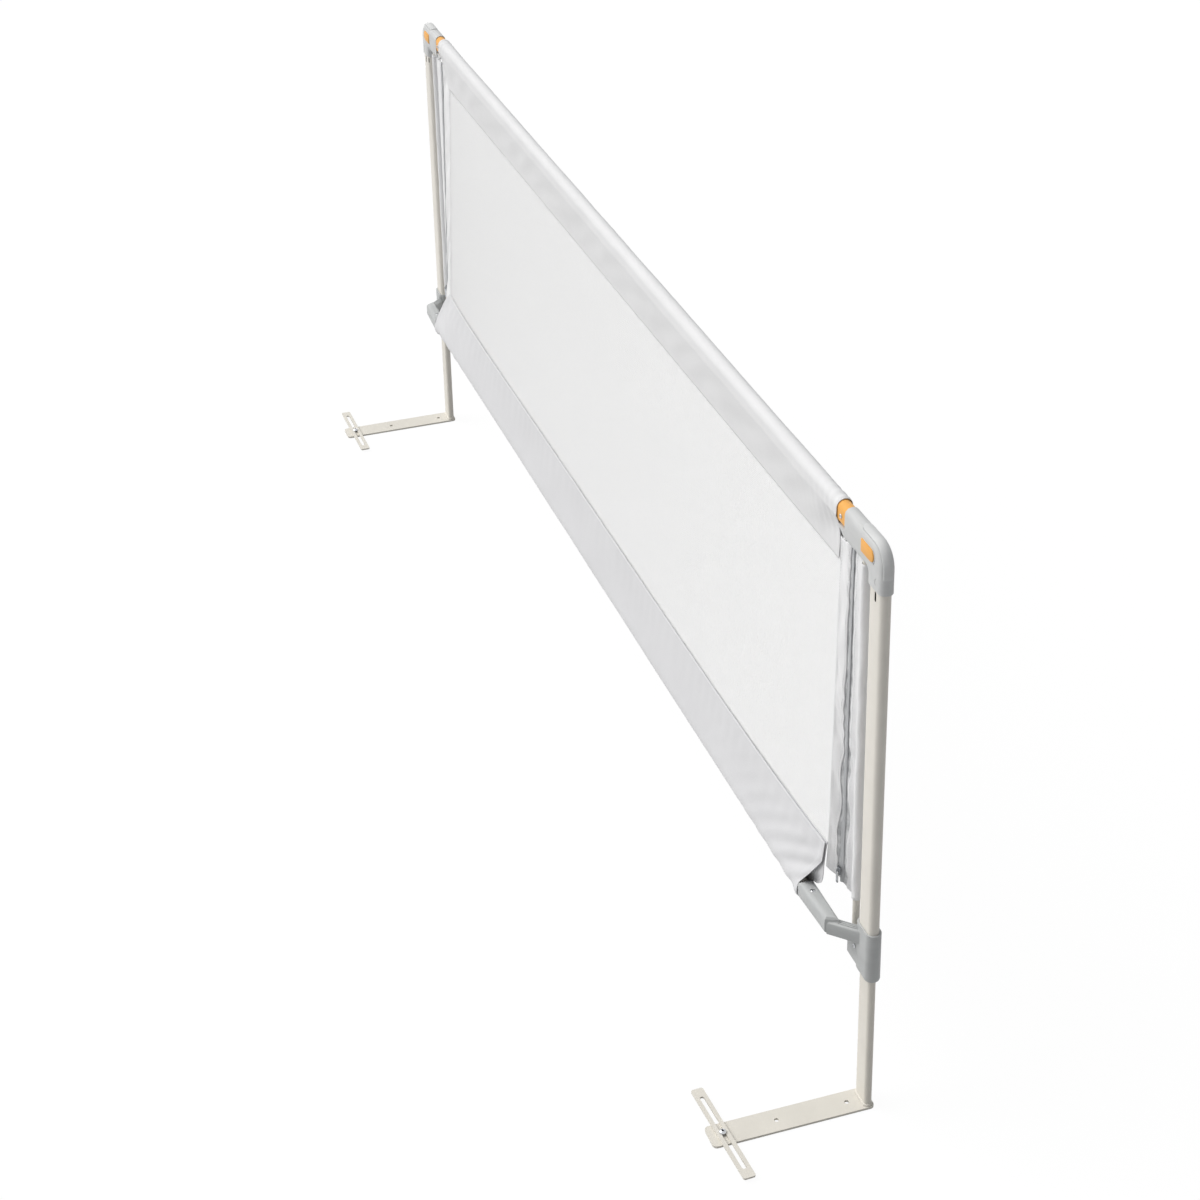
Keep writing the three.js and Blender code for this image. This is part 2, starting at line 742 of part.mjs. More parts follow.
// Three grooves along the strut's top
function strutGrooves() {
  const top = bracketArmLow + strutHeight;
  const start = 0.5 - grooveShare / 2;
  return [-1, 0, 1].map((place) => {
    const outline = strutBar(start, start + grooveShare, grooveWidth, place * groovePitch);
    return upright(outline, top - grooveDepth, top + cutOver);
  });
}

// The web from above: square towards the rail with small round corners
function webOutline() {
  return roundedRectangle(webReach, webThick, webEdge, -webReach / 2, 0);
}

function lowerBracket() {
  const sleeve = softUpright(ovalOutline(postWidth + bracketDepth - postDepth, bracketDepth), bracketBottom,
    bracketTop + bracketEdge, bracketEdge);
  const web = softUpright(webOutline(), bracketBottom, webTop, webEdge - fit, 3);
  const armTop = bracketArmLow + bracketArmHeight;
  const arm = softUpright(bracketArmOutline(), bracketArmLow, armTop, bracketArmEdge, roundSteps, mouldSteps);
  const strut = softUpright(strutBar(0, 1, strutWidth), bracketArmLow, bracketArmLow + strutHeight, strutEdge,
    roundSteps, mouldSteps);
  const rim = bracketTop + bracketEdge;
  const above = box(-postWidth, postWidth, -postWidth, postWidth, bracketTop, rim + cutOver);
  const postBore = upright(ovalOutline(postWidth + fit * 2, postDepth + fit * 2), bracketBottom + bracketFloor,
    bracketTop + cutOver);
  const legBore = upright(ovalOutline(legWidth + slideFit * 2, legDepth + slideFit * 2), bracketBottom - cutOver,
    bracketTop);
  const rodBore = cylinderZ(rodDiameter + fit * 2, webTop - rodInWeb - fit, webTop + cutOver, rodX, 0);
  const tubeSocket = alongX(lowTubeHeight + fit * 2, lowTubeDepth + fit * 2, -bracketArmReach - cutOver,
    -bracketArmReach + lowTubeInArm + fit, lowTubeY, lowTubeZ);
  const armHole = cylinderZ(screwShank + fit * 2, lowTubeZ, armTop, armScrewX, lowTubeY, boreSides);
  const armRecess = cylinderZ(screwHead + armScrewRecess, armTop - armScrewRecess, armTop + cutOver, armScrewX,
    lowTubeY);
  const webHole = cylinderY(screwShank + fit * 2, -webThick, webThick, webScrewX, webScrewZ);
  const whole = joined(sleeve, web, arm, strut);
  return geometryOf(cut(whole, above, postBore, legBore, rodBore, tubeSocket, armHole, armRecess, webHole,
    ...strutGrooves()));
}

// Screw down into the lower tube
function armScrew() {
  return domedScrew(screwHead, screwHeadHeight, screwShank, screwLength)
    .translate(armScrewX, lowTubeY, bracketArmLow + bracketArmHeight - armScrewRecess + fit);
}

// Screw through the web
function webScrew() {
  return domedScrew(screwHead, screwHeadHeight, screwShank, screwLength)
    .rotateX(Math.PI / 2).translate(webScrewX, -webThick / 2 - fit, webScrewZ);
}

function sideRod() {
  const low = webTop - rodInWeb;
  const high = armBottom + rodInArm;
  const outer = cylinderZ(rodDiameter, low, high, rodX, 0);
  const inner = cylinderZ(rodDiameter - rodWall * 2, low - cutOver, high + cutOver, rodX, 0, 12);
  return geometryOf(cut(solid(outer), inner));
}

// Half of a tube along X, from its end in a housing or arm to the middle of the rail, with its screw hole
function halfTube(height, depth, wall, end, y, z, hole) {
  const tube = alongX(height, depth, fit / 2, end, y, z);
  const hollow = alongX(height - wall * 2, depth - wall * 2, -cutOver, end + cutOver, y, z);
  return geometryOf(cut(solid(tube), hollow, hole));
}

function topHalfTube() {
  const hole = cylinderY(screwShank + fit * 2, -housingDepth, 0, postX + collarScrewX, topTubeZ);
  const end = postX - armReach + topTubeInHousing;
  return halfTube(topTubeHeight, topTubeDepth, topTubeWall, end, 0, topTubeZ, hole);
}

function lowHalfTube() {
  const hole = cylinderZ(screwShank + fit * 2, lowTubeZ, lowTubeZ + lowTubeHeight, postX + armScrewX, lowTubeY,
    boreSides);
  const end = postX - bracketArmReach + lowTubeInArm;
  return halfTube(lowTubeHeight, lowTubeDepth, lowTubeWall, end, lowTubeY, lowTubeZ, hole);
}

// Joiner inside the two halves of a tube
function joiner(height, depth, wall, y, z) {
  const half = joinerLength / 2;
  const size = (wall + fit) * 2;
  const outer = alongX(height - size, depth - size, -half, half, y, z, joinerSteps);
  const bore = size + joinerWall * 2;
  const inner = alongX(height - bore, depth - bore, -half - cutOver, half + cutOver, y, z, joinerSteps);
  return geometryOf(cut(solid(outer), inner));
}

// How far a place lies towards the rail's end, from 0 in the middle to 1
const endShare = (x) => {
  return Math.min(1, Math.abs(x) / (postX - Math.min(clothEdges.right.low, clothEdges.left.low)));
};
const lowSeamY = (x) => lowSeamMidY + (lowSeamEndY - lowSeamMidY) * endShare(x) ** 6;
const lowSeamZ = (x) => {
  const { seamRise } = clothEdges[x > 0 ? 'right' : 'left'];
  return lowTubeZ + lowSeamMidRise + (seamRise - lowSeamMidRise) * endShare(x) ** 2;
};

// A sleeve's section at one place: half round over the tube, straight beside it, then two layers that
// meet at the seam
function sleeveRing(radius, straight, centre, seam, inset, hem) {
  const down = new THREE.Vector2(seam.x - centre.x, seam.y - centre.y);
  const reach = down.length() - hem;
  down.normalize();
  const side = new THREE.Vector2(-down.y, down.x);
  const points = [];
  const arcSteps = 8;
  const start = new THREE.Vector2(centre.x, centre.y).addScaledVector(down, -straight);
  for (let i = 0; i <= arcSteps; i += 1) {
    const turn = (i / arcSteps) * Math.PI;
    const across = Math.cos(turn) * radius;
    points.push(start.clone().addScaledVector(side, across).addScaledVector(down, -Math.sin(turn) * radius));
  }
  const layer = (share, way) => {
    const across = (radius * (1 - share) ** 1.2 + inset * share) * way;
    const far = straight * 2 + (reach - straight) * share;
    points.push(start.clone().addScaledVector(side, across).addScaledVector(down, far));
  };
  for (const share of layerShares) layer(share, -1);
  for (const share of layerShares.toReversed()) layer(share, 1);
  return points;
}

// How far a sleeve's end has leaned towards the net's end, at a distance from its tube out of the drop
const leanShare = (distance, drop, bend) => {
  return THREE.MathUtils.clamp((distance - leanStart) / (drop - leanStart), 0, 1) ** bend;
};

// A sleeve along the rail, with puckers where the cloth is gathered at both ends. Its ends lean from their
// place on the tube to the net's ends at the seam.
function sleeve(radius, straight, centreAt, seamAt, endReach, level) {
  const end = postX - endReach;
  const sections = [];
  for (let s = 0; s <= sleeveSections; s += 1) {
    const share = s / sleeveSections * 2 - 1;
    const x = end * (Math.sign(share) * (1 - (1 - Math.abs(share)) ** 1.6));
    const gathered = Math.exp(-(end - Math.abs(x)) / puckerLength);
    const pucker = sleevePucker * gathered * (1 + Math.sin(x / puckerLength * Math.PI * 4)) / 2;
    const centre = centreAt(x);
    const seam = seamAt(x);
    const outer = sleeveRing(radius + pucker, straight, centre, seam, clothThick, 0);
    const lining = radius - clothThick + pucker * 0.5;
    const inner = sleeveRing(lining, straight, centre, seam, clothThick * 0.2, seamHem);
    const edge = clothEdges[x > 0 ? 'right' : 'left'][level];
    const lean = (endReach - edge) * Math.sign(x) * Math.abs(share) ** 4;
    const towardsSeam = Math.sign(seam.y - centre.y);
    const drop = (seam.y - centre.y) * towardsSeam;
    const bend = endReach > edge ? bendOut : bendIn;
    const along = (p) => x + lean * leanShare((p.y - centre.y) * towardsSeam, drop, bend);
    sections.push({
      outer: outer.map((p) => [along(p), p.x, p.y]),
      inner: inner.map((p) => [along(p), p.x, p.y]),
    });
  }
  return lofted(sections);
}

function topSleeve() {
  const radius = topTubeDepth / 2 + topSleeveLoose;
  const straight = topTubeHeight / 2 - topTubeDepth / 2;
  const centre = new THREE.Vector2(0, topTubeZ);
  const seam = new THREE.Vector2(topSeamY, topSeamZ);
  return sleeve(radius, straight, () => centre, () => seam, topSleeveEnd, 'top');
}

function lowSleeve() {
  const radius = lowTubeDepth / 2 + lowSleeveLoose + clothThick;
  const straight = lowTubeHeight / 2 - lowTubeDepth / 2;
  return sleeve(radius, straight, () => new THREE.Vector2(lowTubeY, lowTubeZ),
    (x) => new THREE.Vector2(lowSeamY(x), lowSeamZ(x)), lowSleeveEnd, 'low');
}

// Net panel between the two seams: strands along and across it, with a plain grid of gaps between them.
// A place is a share of its length from the left and of its height from the lower seam.
function netPoint(along, up) {
  const left = -postX + clothEdges.left.low + (clothEdges.left.top - clothEdges.left.low) * up;
  const right = postX - clothEdges.right.low - (clothEdges.right.top - clothEdges.right.low) * up;
  const x = left + (right - left) * along;
  const lowZ = lowSeamZ(x) + fit;
  const highZ = topSeamZ - fit;
  return new THREE.Vector3(x, lowSeamY(x) + (topSeamY - lowSeamY(x)) * up, lowZ + (highZ - lowZ) * up);
}

// Shares of the strands' edges: each strand has two, and the gaps lie between them
function strandShares(gaps, length) {
  const strand = netStrand / length;
  const gap = (1 - strand * (gaps + 1)) / gaps;
  return Array.from({ length: (gaps + 1) * 2 }, (unused, i) => {
    const pair = Math.floor(i / 2);
    return pair * (strand + gap) + (i % 2) * strand;
  });
}

// The four sides of a cell: the way to the next cell, and the two ends of the side between them
const cellSides = [
  [-1, 0, [[0, 0], [0, 1]]],
  [1, 0, [[1, 1], [1, 0]]],
  [0, -1, [[1, 0], [0, 0]]],
  [0, 1, [[0, 1], [1, 1]]],
];

function netPanel() {
  const along = strandShares(netColumns, postX * 2 - clothEdges.left.low - clothEdges.right.low);
  const up = strandShares(netRows, topSeamZ - lowSeamMidZ);
  const positions = [];
  for (const side of [-1, 1]) {
    for (const v of up) {
      for (const u of along) {
        const point = netPoint(u, v);
        positions.push(point.x, point.y + side * netThick / 2, point.z);
      }
    }
  }
  const index = [];
  const at = (side, c, r) => (side * up.length + r) * along.length + c;
  const quad = (a, b, c, d) => index.push(a, b, c, a, c, d);
  const isPast = (c, r) => c < 0 || r < 0 || c >= along.length - 1 || r >= up.length - 1;
  const isOpen = (c, r) => isPast(c, r) || (c % 2 === 1 && r % 2 === 1);
  for (let r = 0; r < up.length - 1; r += 1) {
    for (let c = 0; c < along.length - 1; c += 1) {
      if (isOpen(c, r)) continue;
      quad(at(0, c, r), at(0, c + 1, r), at(0, c + 1, r + 1), at(0, c, r + 1));
      quad(at(1, c, r), at(1, c, r + 1), at(1, c + 1, r + 1), at(1, c + 1, r));
      for (const [stepC, stepR, ends] of cellSides) {
        if (!isOpen(c + stepC, r + stepR)) continue;
        const [[c1, r1], [c2, r2]] = ends;
        quad(at(0, c + c1, r + r1), at(0, c + c2, r + r2), at(1, c + c2, r + r2), at(1, c + c1, r + r1));
      }
    }
  }
  const geometry = new THREE.BufferGeometry();
  geometry.setAttribute('position', new THREE.BufferAttribute(new Float32Array(positions), 3));
  geometry.setIndex(index);
  return geometry;
}

// How far the flap's inner edge lies from the post: the net's edge, and past the seams the sleeves' ends
function flapEdge(edges, height) {
  if (height > topSeamZ) {
    const end = Math.min(edges.top, topSleeveEnd);
    return end + (edges.top - end) * leanShare(topTubeZ - height, topSeamDrop, bendIn);
  }
  const seamZ = lowTubeZ + edges.seamRise;
  if (height < seamZ) {
    const end = Math.min(edges.low, lowSleeveEnd);
    return end + (edges.low - end) * leanShare(height - lowTubeZ, edges.seamRise, bendIn);
  }
  return edges.low + (edges.top - edges.low) * (height - seamZ) / (topSeamZ - seamZ);
}

const tunnelX = rodX - rodDiameter / 2 - tunnelLoose - clothThick / 2;
const flapWidth = (edges, height) => tunnelX + flapEdge(edges, height);

// The side flap's surface in the right post's own places: share 0 at the net's edge, 1 at the rod's tunnel
function flapPoint(edges, share, height) {
  const seamZ = lowTubeZ + edges.seamRise;
  const rise = Math.min(1, (height - seamZ) / (topSeamZ - seamZ));
  const edgeX = -flapEdge(edges, height) + fit * 3;
  const edgeY = lowSeamEndY + (topSeamY - lowSeamEndY) * rise;
  const fromZip = (share - zipShare) ** 3 * Math.sin(share * Math.PI) * 24;
  const pucker = flapPucker * fromZip * Math.sin(height / flapPuckerPitch * Math.PI * 2);
  return new THREE.Vector3(edgeX + (tunnelX - edgeX) * share, edgeY * (1 - share) + pucker, height);
}

// A strip of the flap between two edges, each a share of the width there
function flapStrip(edges, fromAt, toAt, profile) {
  const place = (u, v) => {
    const level = (share) => flapLowInner + (flapLow - flapLowInner) * share;
    const shareAt = (height) => {
      const width = flapWidth(edges, height);
      return fromAt(width) + (toAt(width) - fromAt(width)) * u;
    };
    const low = level(shareAt(flapLowInner));
    const height = low + (flapTop - low) * v;
    return flapPoint(edges, shareAt(height), height);
  };
  return sheet(profile, flapRows, place);
}

const tapeShare = (width) => tapeWidth / 2 / width;
const gapShare = (width) => fit / width;

function flapInner(edges) {
  return flapStrip(edges, () => 0, (width) => zipShare - tapeShare(width) - gapShare(width),
    evenProfile(flapColumns, clothThick));
}

// Tape with the closed tooth chain as a raised band down its middle
function zipTape(edges) {
  const half = chainWidth / tapeWidth / 2;
  const profile = [[0, tapeThick], [0.5 - half * 1.2, tapeThick], [0.5 - half * 0.8, chainThick],
    [0.5 + half * 0.8, chainThick], [0.5 + half * 1.2, tapeThick], [1, tapeThick]];
  const from = (width) => zipShare - tapeShare(width);
  const to = (width) => zipShare + tapeShare(width);
  return flapStrip(edges, from, to, profile);
}

function flapOuter(edges) {
  const strip = flapStrip(edges, (width) => zipShare + tapeShare(width) + gapShare(width), () => 1,
    evenProfile(flapColumns, clothThick));
  const bore = rodDiameter + tunnelLoose * 2;
  const tunnel = cylinderZ(bore + clothThick * 2, flapLow, flapTop, rodX, 0, tunnelSides);
  const hollow = cylinderZ(bore, flapLow - cutOver, flapTop + cutOver, rodX, 0, tunnelSides);
  return geometryOf(cut(joined(strip, tunnel), hollow));
}

// Slider plate on the chain, and the pull that hangs from its bail
function sliderPlace(edges) {
  const sideShare = sliderWidth / 2 / flapWidth(edges, sliderBottom);
  const point = flapPoint(edges, zipShare, sliderBottom + sliderHeight / 2);
  const chainFront = flapPoint(edges, zipShare, sliderBottom).y - chainThick / 2;
  point.y = Math.min(flapPoint(edges, zipShare - sideShare, sliderBottom).y, chainFront);
  point.y -= tapeThick / 2 + fit;
  return point;
}

function zipSlider(edges) {
  const at = sliderPlace(edges);
  const shape = roundedRectangle(sliderWidth, sliderHeight, sliderWidth / 4, at.x, at.z);
  return softThrough(shape, at.y - sliderThick, at.y, sliderEdge, 2);
}

function zipPull(edges) {
  const at = sliderPlace(edges);
  const shape = roundedRectangle(pullWidth, pullLength, pullWidth / 3, at.x, at.z - pullLength / 2);
  const hole = new THREE.Path();
  hole.absarc(at.x, at.z - pullLength + pullWidth / 2, pullHole / 2, 0, Math.PI * 2);
  shape.holes.push(hole);
  const front = at.y - sliderThick - fit - pullThick;
  return through(shape, front, front + pullThick, 4);
}

// Mirrors a geometry across the rail's middle and keeps its faces outwards
function mirrored(geometry) {
  const flipped = geometry.clone().scale(-1, 1, 1);
  if (!flipped.index) flipped.setIndex([...Array(flipped.attributes.position.count).keys()]);
  const index = flipped.index;
  for (let i = 0; i < index.count; i += 3) {
    const kept = index.getX(i + 1);
    index.setX(i + 1, index.getX(i + 2));
    index.setX(i + 2, kept);
  }
  return flipped;
}

const rail = new THREE.Group();

function addMesh(name, geometry, material, place = new THREE.Vector3(), turn = 0) {
  const mesh = new THREE.Mesh(geometry, material());
  mesh.name = name;
  mesh.position.copy(place);
  mesh.rotation.z = turn;
  rail.add(mesh);
}

// Pieces that both ends have, in the right post's places and mirrored for the left
const endPieces = [
  ['foot_plate', footPlate, creamPaint],
  ['leg_tube', legTube, creamPaint],
  ['leg_guide', legGuide, darkPlastic],
  ['post_tube', postTube, creamPaint],
  ['corner_housing', cornerHousing, greyPlastic],
  ['corner_cap', cornerCap, palePlastic],
  ['release_button', releaseButton, orangePlastic],
  ['latch_strip', latchStrip, zincSteel],
  ['tube_collar', tubeCollar, orangePlastic],
  ['collar_screw', collarScrew, zincSteel],
  ['lower_bracket', lowerBracket, greyPlastic],
  ['arm_screw', armScrew, zincSteel],
  ['web_screw', webScrew, zincSteel],
  ['side_rod', sideRod, creamPaint],
  ['flap_inner', flapInner, greyCloth],
  ['zip_tape', zipTape, greyTape],
  ['flap_outer', flapOuter, greyCloth],
  ['zip_slider', zipSlider, zincSteel],
  ['zip_pull', zipPull, zincSteel],
];

for (const [name, make, material] of endPieces) {
  addMesh(`${name}_right`, make(clothEdges.right), material, new THREE.Vector3(postX, 0, 0));
  addMesh(`${name}_left`, mirrored(make(clothEdges.left)), material, new THREE.Vector3(-postX, 0, 0));
}

for (const [side, name, turn] of [[1, 'right', barTurnRight], [-1, 'left', barTurnLeft]]) {
  const angle = THREE.MathUtils.degToRad(turn);
  const seat = plateThick + fit;
  const barPlace = new THREE.Vector3(side * postX, -boltReach, seat);
  addMesh(`t_bar_${name}`, slottedBar(), creamPaint, barPlace, angle);
  const boltPlace = new THREE.Vector3(side * postX, -boltReach, seat + barThick + fit);
  addMesh(`t_bar_bolt_${name}`, barBolt(), zincSteel, boltPlace);
}

for (const [name, make] of [['top_tube', topHalfTube], ['lower_tube', lowHalfTube]]) {
  const geometry = make();
  addMesh(`${name}_right`, geometry, creamPaint);
  addMesh(`${name}_left`, mirrored(geometry), creamPaint);
}

addMesh('top_tube_joiner', joiner(topTubeHeight, topTubeDepth, topTubeWall, 0, topTubeZ), zincSteel);
addMesh('lower_tube_joiner', joiner(lowTubeHeight, lowTubeDepth, lowTubeWall, lowTubeY, lowTubeZ), zincSteel);
addMesh('top_sleeve', topSleeve(), greyCloth);
addMesh('lower_sleeve', lowSleeve(), greyCloth);
addMesh('net_panel', netPanel(), whiteNet);

// The origin goes under the middle of the whole rail
rail.updateMatrixWorld(true);
const bounds = new THREE.Box3().setFromObject(rail);
const middle = bounds.getCenter(new THREE.Vector3());
rail.position.set(-middle.x, -middle.y, -bounds.min.z);

export default rail;
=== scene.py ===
"""Folding bed guard rail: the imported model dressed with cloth, net, zips, stitching and finishes.

Metres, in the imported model's own frame: X along the rail, -Y towards the mattress, Z up.
Places marked as rail places count X from the rail's middle and Y from the posts' plane.
"""
from types import SimpleNamespace

import bpy
import numpy as np
from mathutils import Matrix, Vector


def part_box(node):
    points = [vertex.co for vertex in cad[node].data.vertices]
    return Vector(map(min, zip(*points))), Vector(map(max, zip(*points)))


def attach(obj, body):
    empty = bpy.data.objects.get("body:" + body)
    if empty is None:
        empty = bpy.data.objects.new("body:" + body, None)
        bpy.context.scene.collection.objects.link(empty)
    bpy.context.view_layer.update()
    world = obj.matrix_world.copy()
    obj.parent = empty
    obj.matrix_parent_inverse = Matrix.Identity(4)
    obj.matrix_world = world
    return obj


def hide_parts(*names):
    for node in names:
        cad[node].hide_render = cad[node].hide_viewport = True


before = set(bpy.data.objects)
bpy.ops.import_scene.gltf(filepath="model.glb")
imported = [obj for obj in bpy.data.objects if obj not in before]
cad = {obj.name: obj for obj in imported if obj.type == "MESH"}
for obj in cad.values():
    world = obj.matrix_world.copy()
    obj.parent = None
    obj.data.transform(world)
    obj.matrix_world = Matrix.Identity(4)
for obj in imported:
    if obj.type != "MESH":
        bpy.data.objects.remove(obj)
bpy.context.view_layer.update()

SIDES = {"right": 1, "left": -1}


def middle(node):
    low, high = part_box(node)
    return (low + high) / 2


RAIL_X = (middle("post_tube_right").x + middle("post_tube_left").x) / 2
RAIL_Y = middle("post_tube_right").y
POST_X = middle("post_tube_right").x - RAIL_X
MM = 0.001

# The posts' section: half of its flat part along the rail, and the radius to the middle of its wall, which
# bounds the posts' painted shade inside the tubes
POST_FLAT, POST_WALL_RADIUS = 10.75 * MM, 6.65 * MM

# The cloth's seams and ends, as in the model: distances of the net's ends from the posts at the upper and
# the lower seam, and the lower seam's rise over its tube at that end
CLOTH = 0.9 * MM
TOP_SEAM_Y, TOP_SEAM_Z = -3 * MM, 712 * MM
LOW_SEAM_MID_Y, LOW_SEAM_END_Y, LOW_SEAM_MID_RISE = -32 * MM, -22 * MM, 88 * MM
EDGES = {
    "right": SimpleNamespace(top=105 * MM, low=77 * MM, rise=90 * MM),
    "left": SimpleNamespace(top=145 * MM, low=158 * MM, rise=79 * MM),
}

# Sleeves: radius and straight sides round the tube, the tube's place, the end's distance from the post,
# the radius that clears the collar or arm at the end, how far the cloth laps over it, how much sooner the
# two layers close there, and the sign of the front layer, towards the mattress
TOP_SLEEVE = SimpleNamespace(
    radius=9.2 * MM, straight=5.5 * MM, y=0.0, z=774.5 * MM, end=104.8 * MM, hug=9.4 * MM, lap=1.6 * MM,
    pinch=2.6, front=-1, level="top")
LOW_SLEEVE = SimpleNamespace(
    radius=8.3 * MM, straight=3.5 * MM, y=-35 * MM, z=250 * MM, end=113.2 * MM, hug=10.3 * MM, lap=0.6 * MM,
    pinch=1.6, front=1, level="low")

# A sleeve's end: distances from the tube where its lean starts and how far each layer then takes to lean,
# the least lean of an end that opens outwards, where the lap over the collar or arm fades out, the lengths of
# its swelling, its pinch and its creases' start, the power by which its layers close, and its hem
LEAN_START = 13.4 * MM
OPEN_LEAN = SimpleNamespace(least=10 * MM, start=9 * MM, front=54 * MM, back=42 * MM)
LAP_FADE = (14 * MM, 24 * MM)
HUG_FROM, HUG_TO = -26 * MM, -3 * MM
PINCH_LENGTH, CREASE_START = 60 * MM, 6 * MM
CLOSING = 1.2
HEM = SimpleNamespace(rise=0.3 * MM, width=8 * MM, edge=9.2 * MM, from_tube=14 * MM)

# Side flaps: heights of the top and of the foot at the net and at the rod, the inset from the net's end, and
# distances along the rail from the post, as X at the right end
FLAP_TOP, FLAP_LOW_INNER, FLAP_LOW = 742 * MM, 306 * MM, 280 * MM
FLAP_INSET = 0.9 * MM
TUNNEL_X, TUNNEL_RADIUS, ROD_X = -44.75 * MM, 5.75 * MM, -39 * MM

# Rows of a flap's mesh and columns of its three parts
FLAP_ROWS, INNER_COLUMNS, TAPE_COLUMNS, OUTER_COLUMNS = 190, 22, 12, 14

# Zips: their share of the flap's width at two heights, the tape's sizes and how far the cloth laps over it,
# and the closed chain: its foot's height, the mesh's step, a tooth's pitch, and how it stands off the flap
ZIP_SHARE, TAPE_WIDTH, TAPE_THICK, TAPE_LAP = 0.56, 14 * MM, 0.7 * MM, 1.2 * MM
CHAIN = SimpleNamespace(width=4.2 * MM, foot=292 * MM, step=0.4 * MM, tooth=1.6 * MM, crown=0.8 * MM,
                        groove=0.3 * MM, front=0.5 * MM, back=0.2 * MM)
ZIP_LINE_FROM, ZIP_LINE_TO = 304 * MM, 700 * MM

# Stitches: their length and thickness, their pitch on a sleeve's seam and on a flap, the seam's inset, how
# far a flap's rows lie from the net's edge and from tape and tunnel, and how far they end from foot and top
STITCH = SimpleNamespace(long=2.6 * MM, thick=0.5 * MM, seam=4.2 * MM, flap=4 * MM, inset=3.5 * MM,
                         from_net=3 * MM, aside=1.5 * MM, from_foot=3 * MM, from_top=2 * MM)


# Mesh makers

def piece(name, points, faces, material, body, uv=None, smooth=True):
    """A mesh piece from points in rail places; uv is one pair per point, in metres of cloth."""
    points = np.asarray(points, float).reshape(-1, 3) + (RAIL_X, RAIL_Y, 0)
    mesh = bpy.data.meshes.new(name)
    mesh.from_pydata(points.tolist(), [], faces if isinstance(faces, list) else faces.tolist())
    if uv is not None:
        corners = np.empty(len(mesh.loops), np.int32)
        mesh.loops.foreach_get("vertex_index", corners)
        layer = mesh.uv_layers.new(name="cloth")
        layer.data.foreach_set("uv", np.asarray(uv, float).reshape(-1, 2)[corners].ravel())
    mesh.polygons.foreach_set("use_smooth", [smooth] * len(mesh.polygons))
    mesh.materials.append(material)
    mesh.validate()
    made = bpy.data.objects.new(name, mesh)
    bpy.context.scene.collection.objects.link(made)
    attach(made, body)
    return made


def grid_faces(rows, columns, around=False):
    """Quads of a grid: row r, column c joins r + 1 and c + 1; around joins the last column to the first."""
    r, c = np.meshgrid(np.arange(rows - 1), np.arange(columns if around else columns - 1), indexing="ij")
    after = (c + 1) % columns
    corners = [r * columns + c, r * columns + after, (r + 1) * columns + after, (r + 1) * columns + c]
    return np.stack(corners, -1).reshape(-1, 4)


def swept(name, rings, material, body, uv=None, smooth=True):
    """Closed bars from rings of shape (bars, steps, sides, 3): neighbouring rings are joined, ends closed."""
    bars, steps, sides = rings.shape[:3]
    walls = grid_faces(steps, sides, around=True)
    first = np.arange(sides)[::-1][None]
    last = (steps - 1) * sides + np.arange(sides)[None]
    start = (np.arange(bars) * steps * sides)[:, None, None]
    faces = []
    for part in (walls, first, last):
        faces += (part[None] + start).reshape(-1, part.shape[1]).tolist()
    return piece(name, rings, faces, material, body, uv, smooth)


def thickened(made, thick, offset=-1.0):
    """Gives a cloth surface its thickness: behind its faces at offset -1, and half on each side at 0."""
    solidify = made.modifiers.new("thickness", "SOLIDIFY")
    solidify.thickness, solidify.offset = thick, offset
    return made


def smooth_step(value, start, end):
    """Rises from 0 at start to 1 at end, as 3 t ** 2 - 2 t ** 3."""
    t = np.clip((value - start) / (end - start), 0, 1)
    return t * t * (3 - 2 * t)


# Finishes

def tint(hexes, level=1.0):
    """Linear colour of an sRGB hex code, times level."""
    code = np.array([int(hexes[i:i + 2], 16) for i in (0, 2, 4)]) / 255
    line = np.where(code <= 0.04045, code / 12.92, ((code + 0.055) / 1.055) ** 2.4) * level
    return (*[float(min(x, 1.0)) for x in line], 1.0)


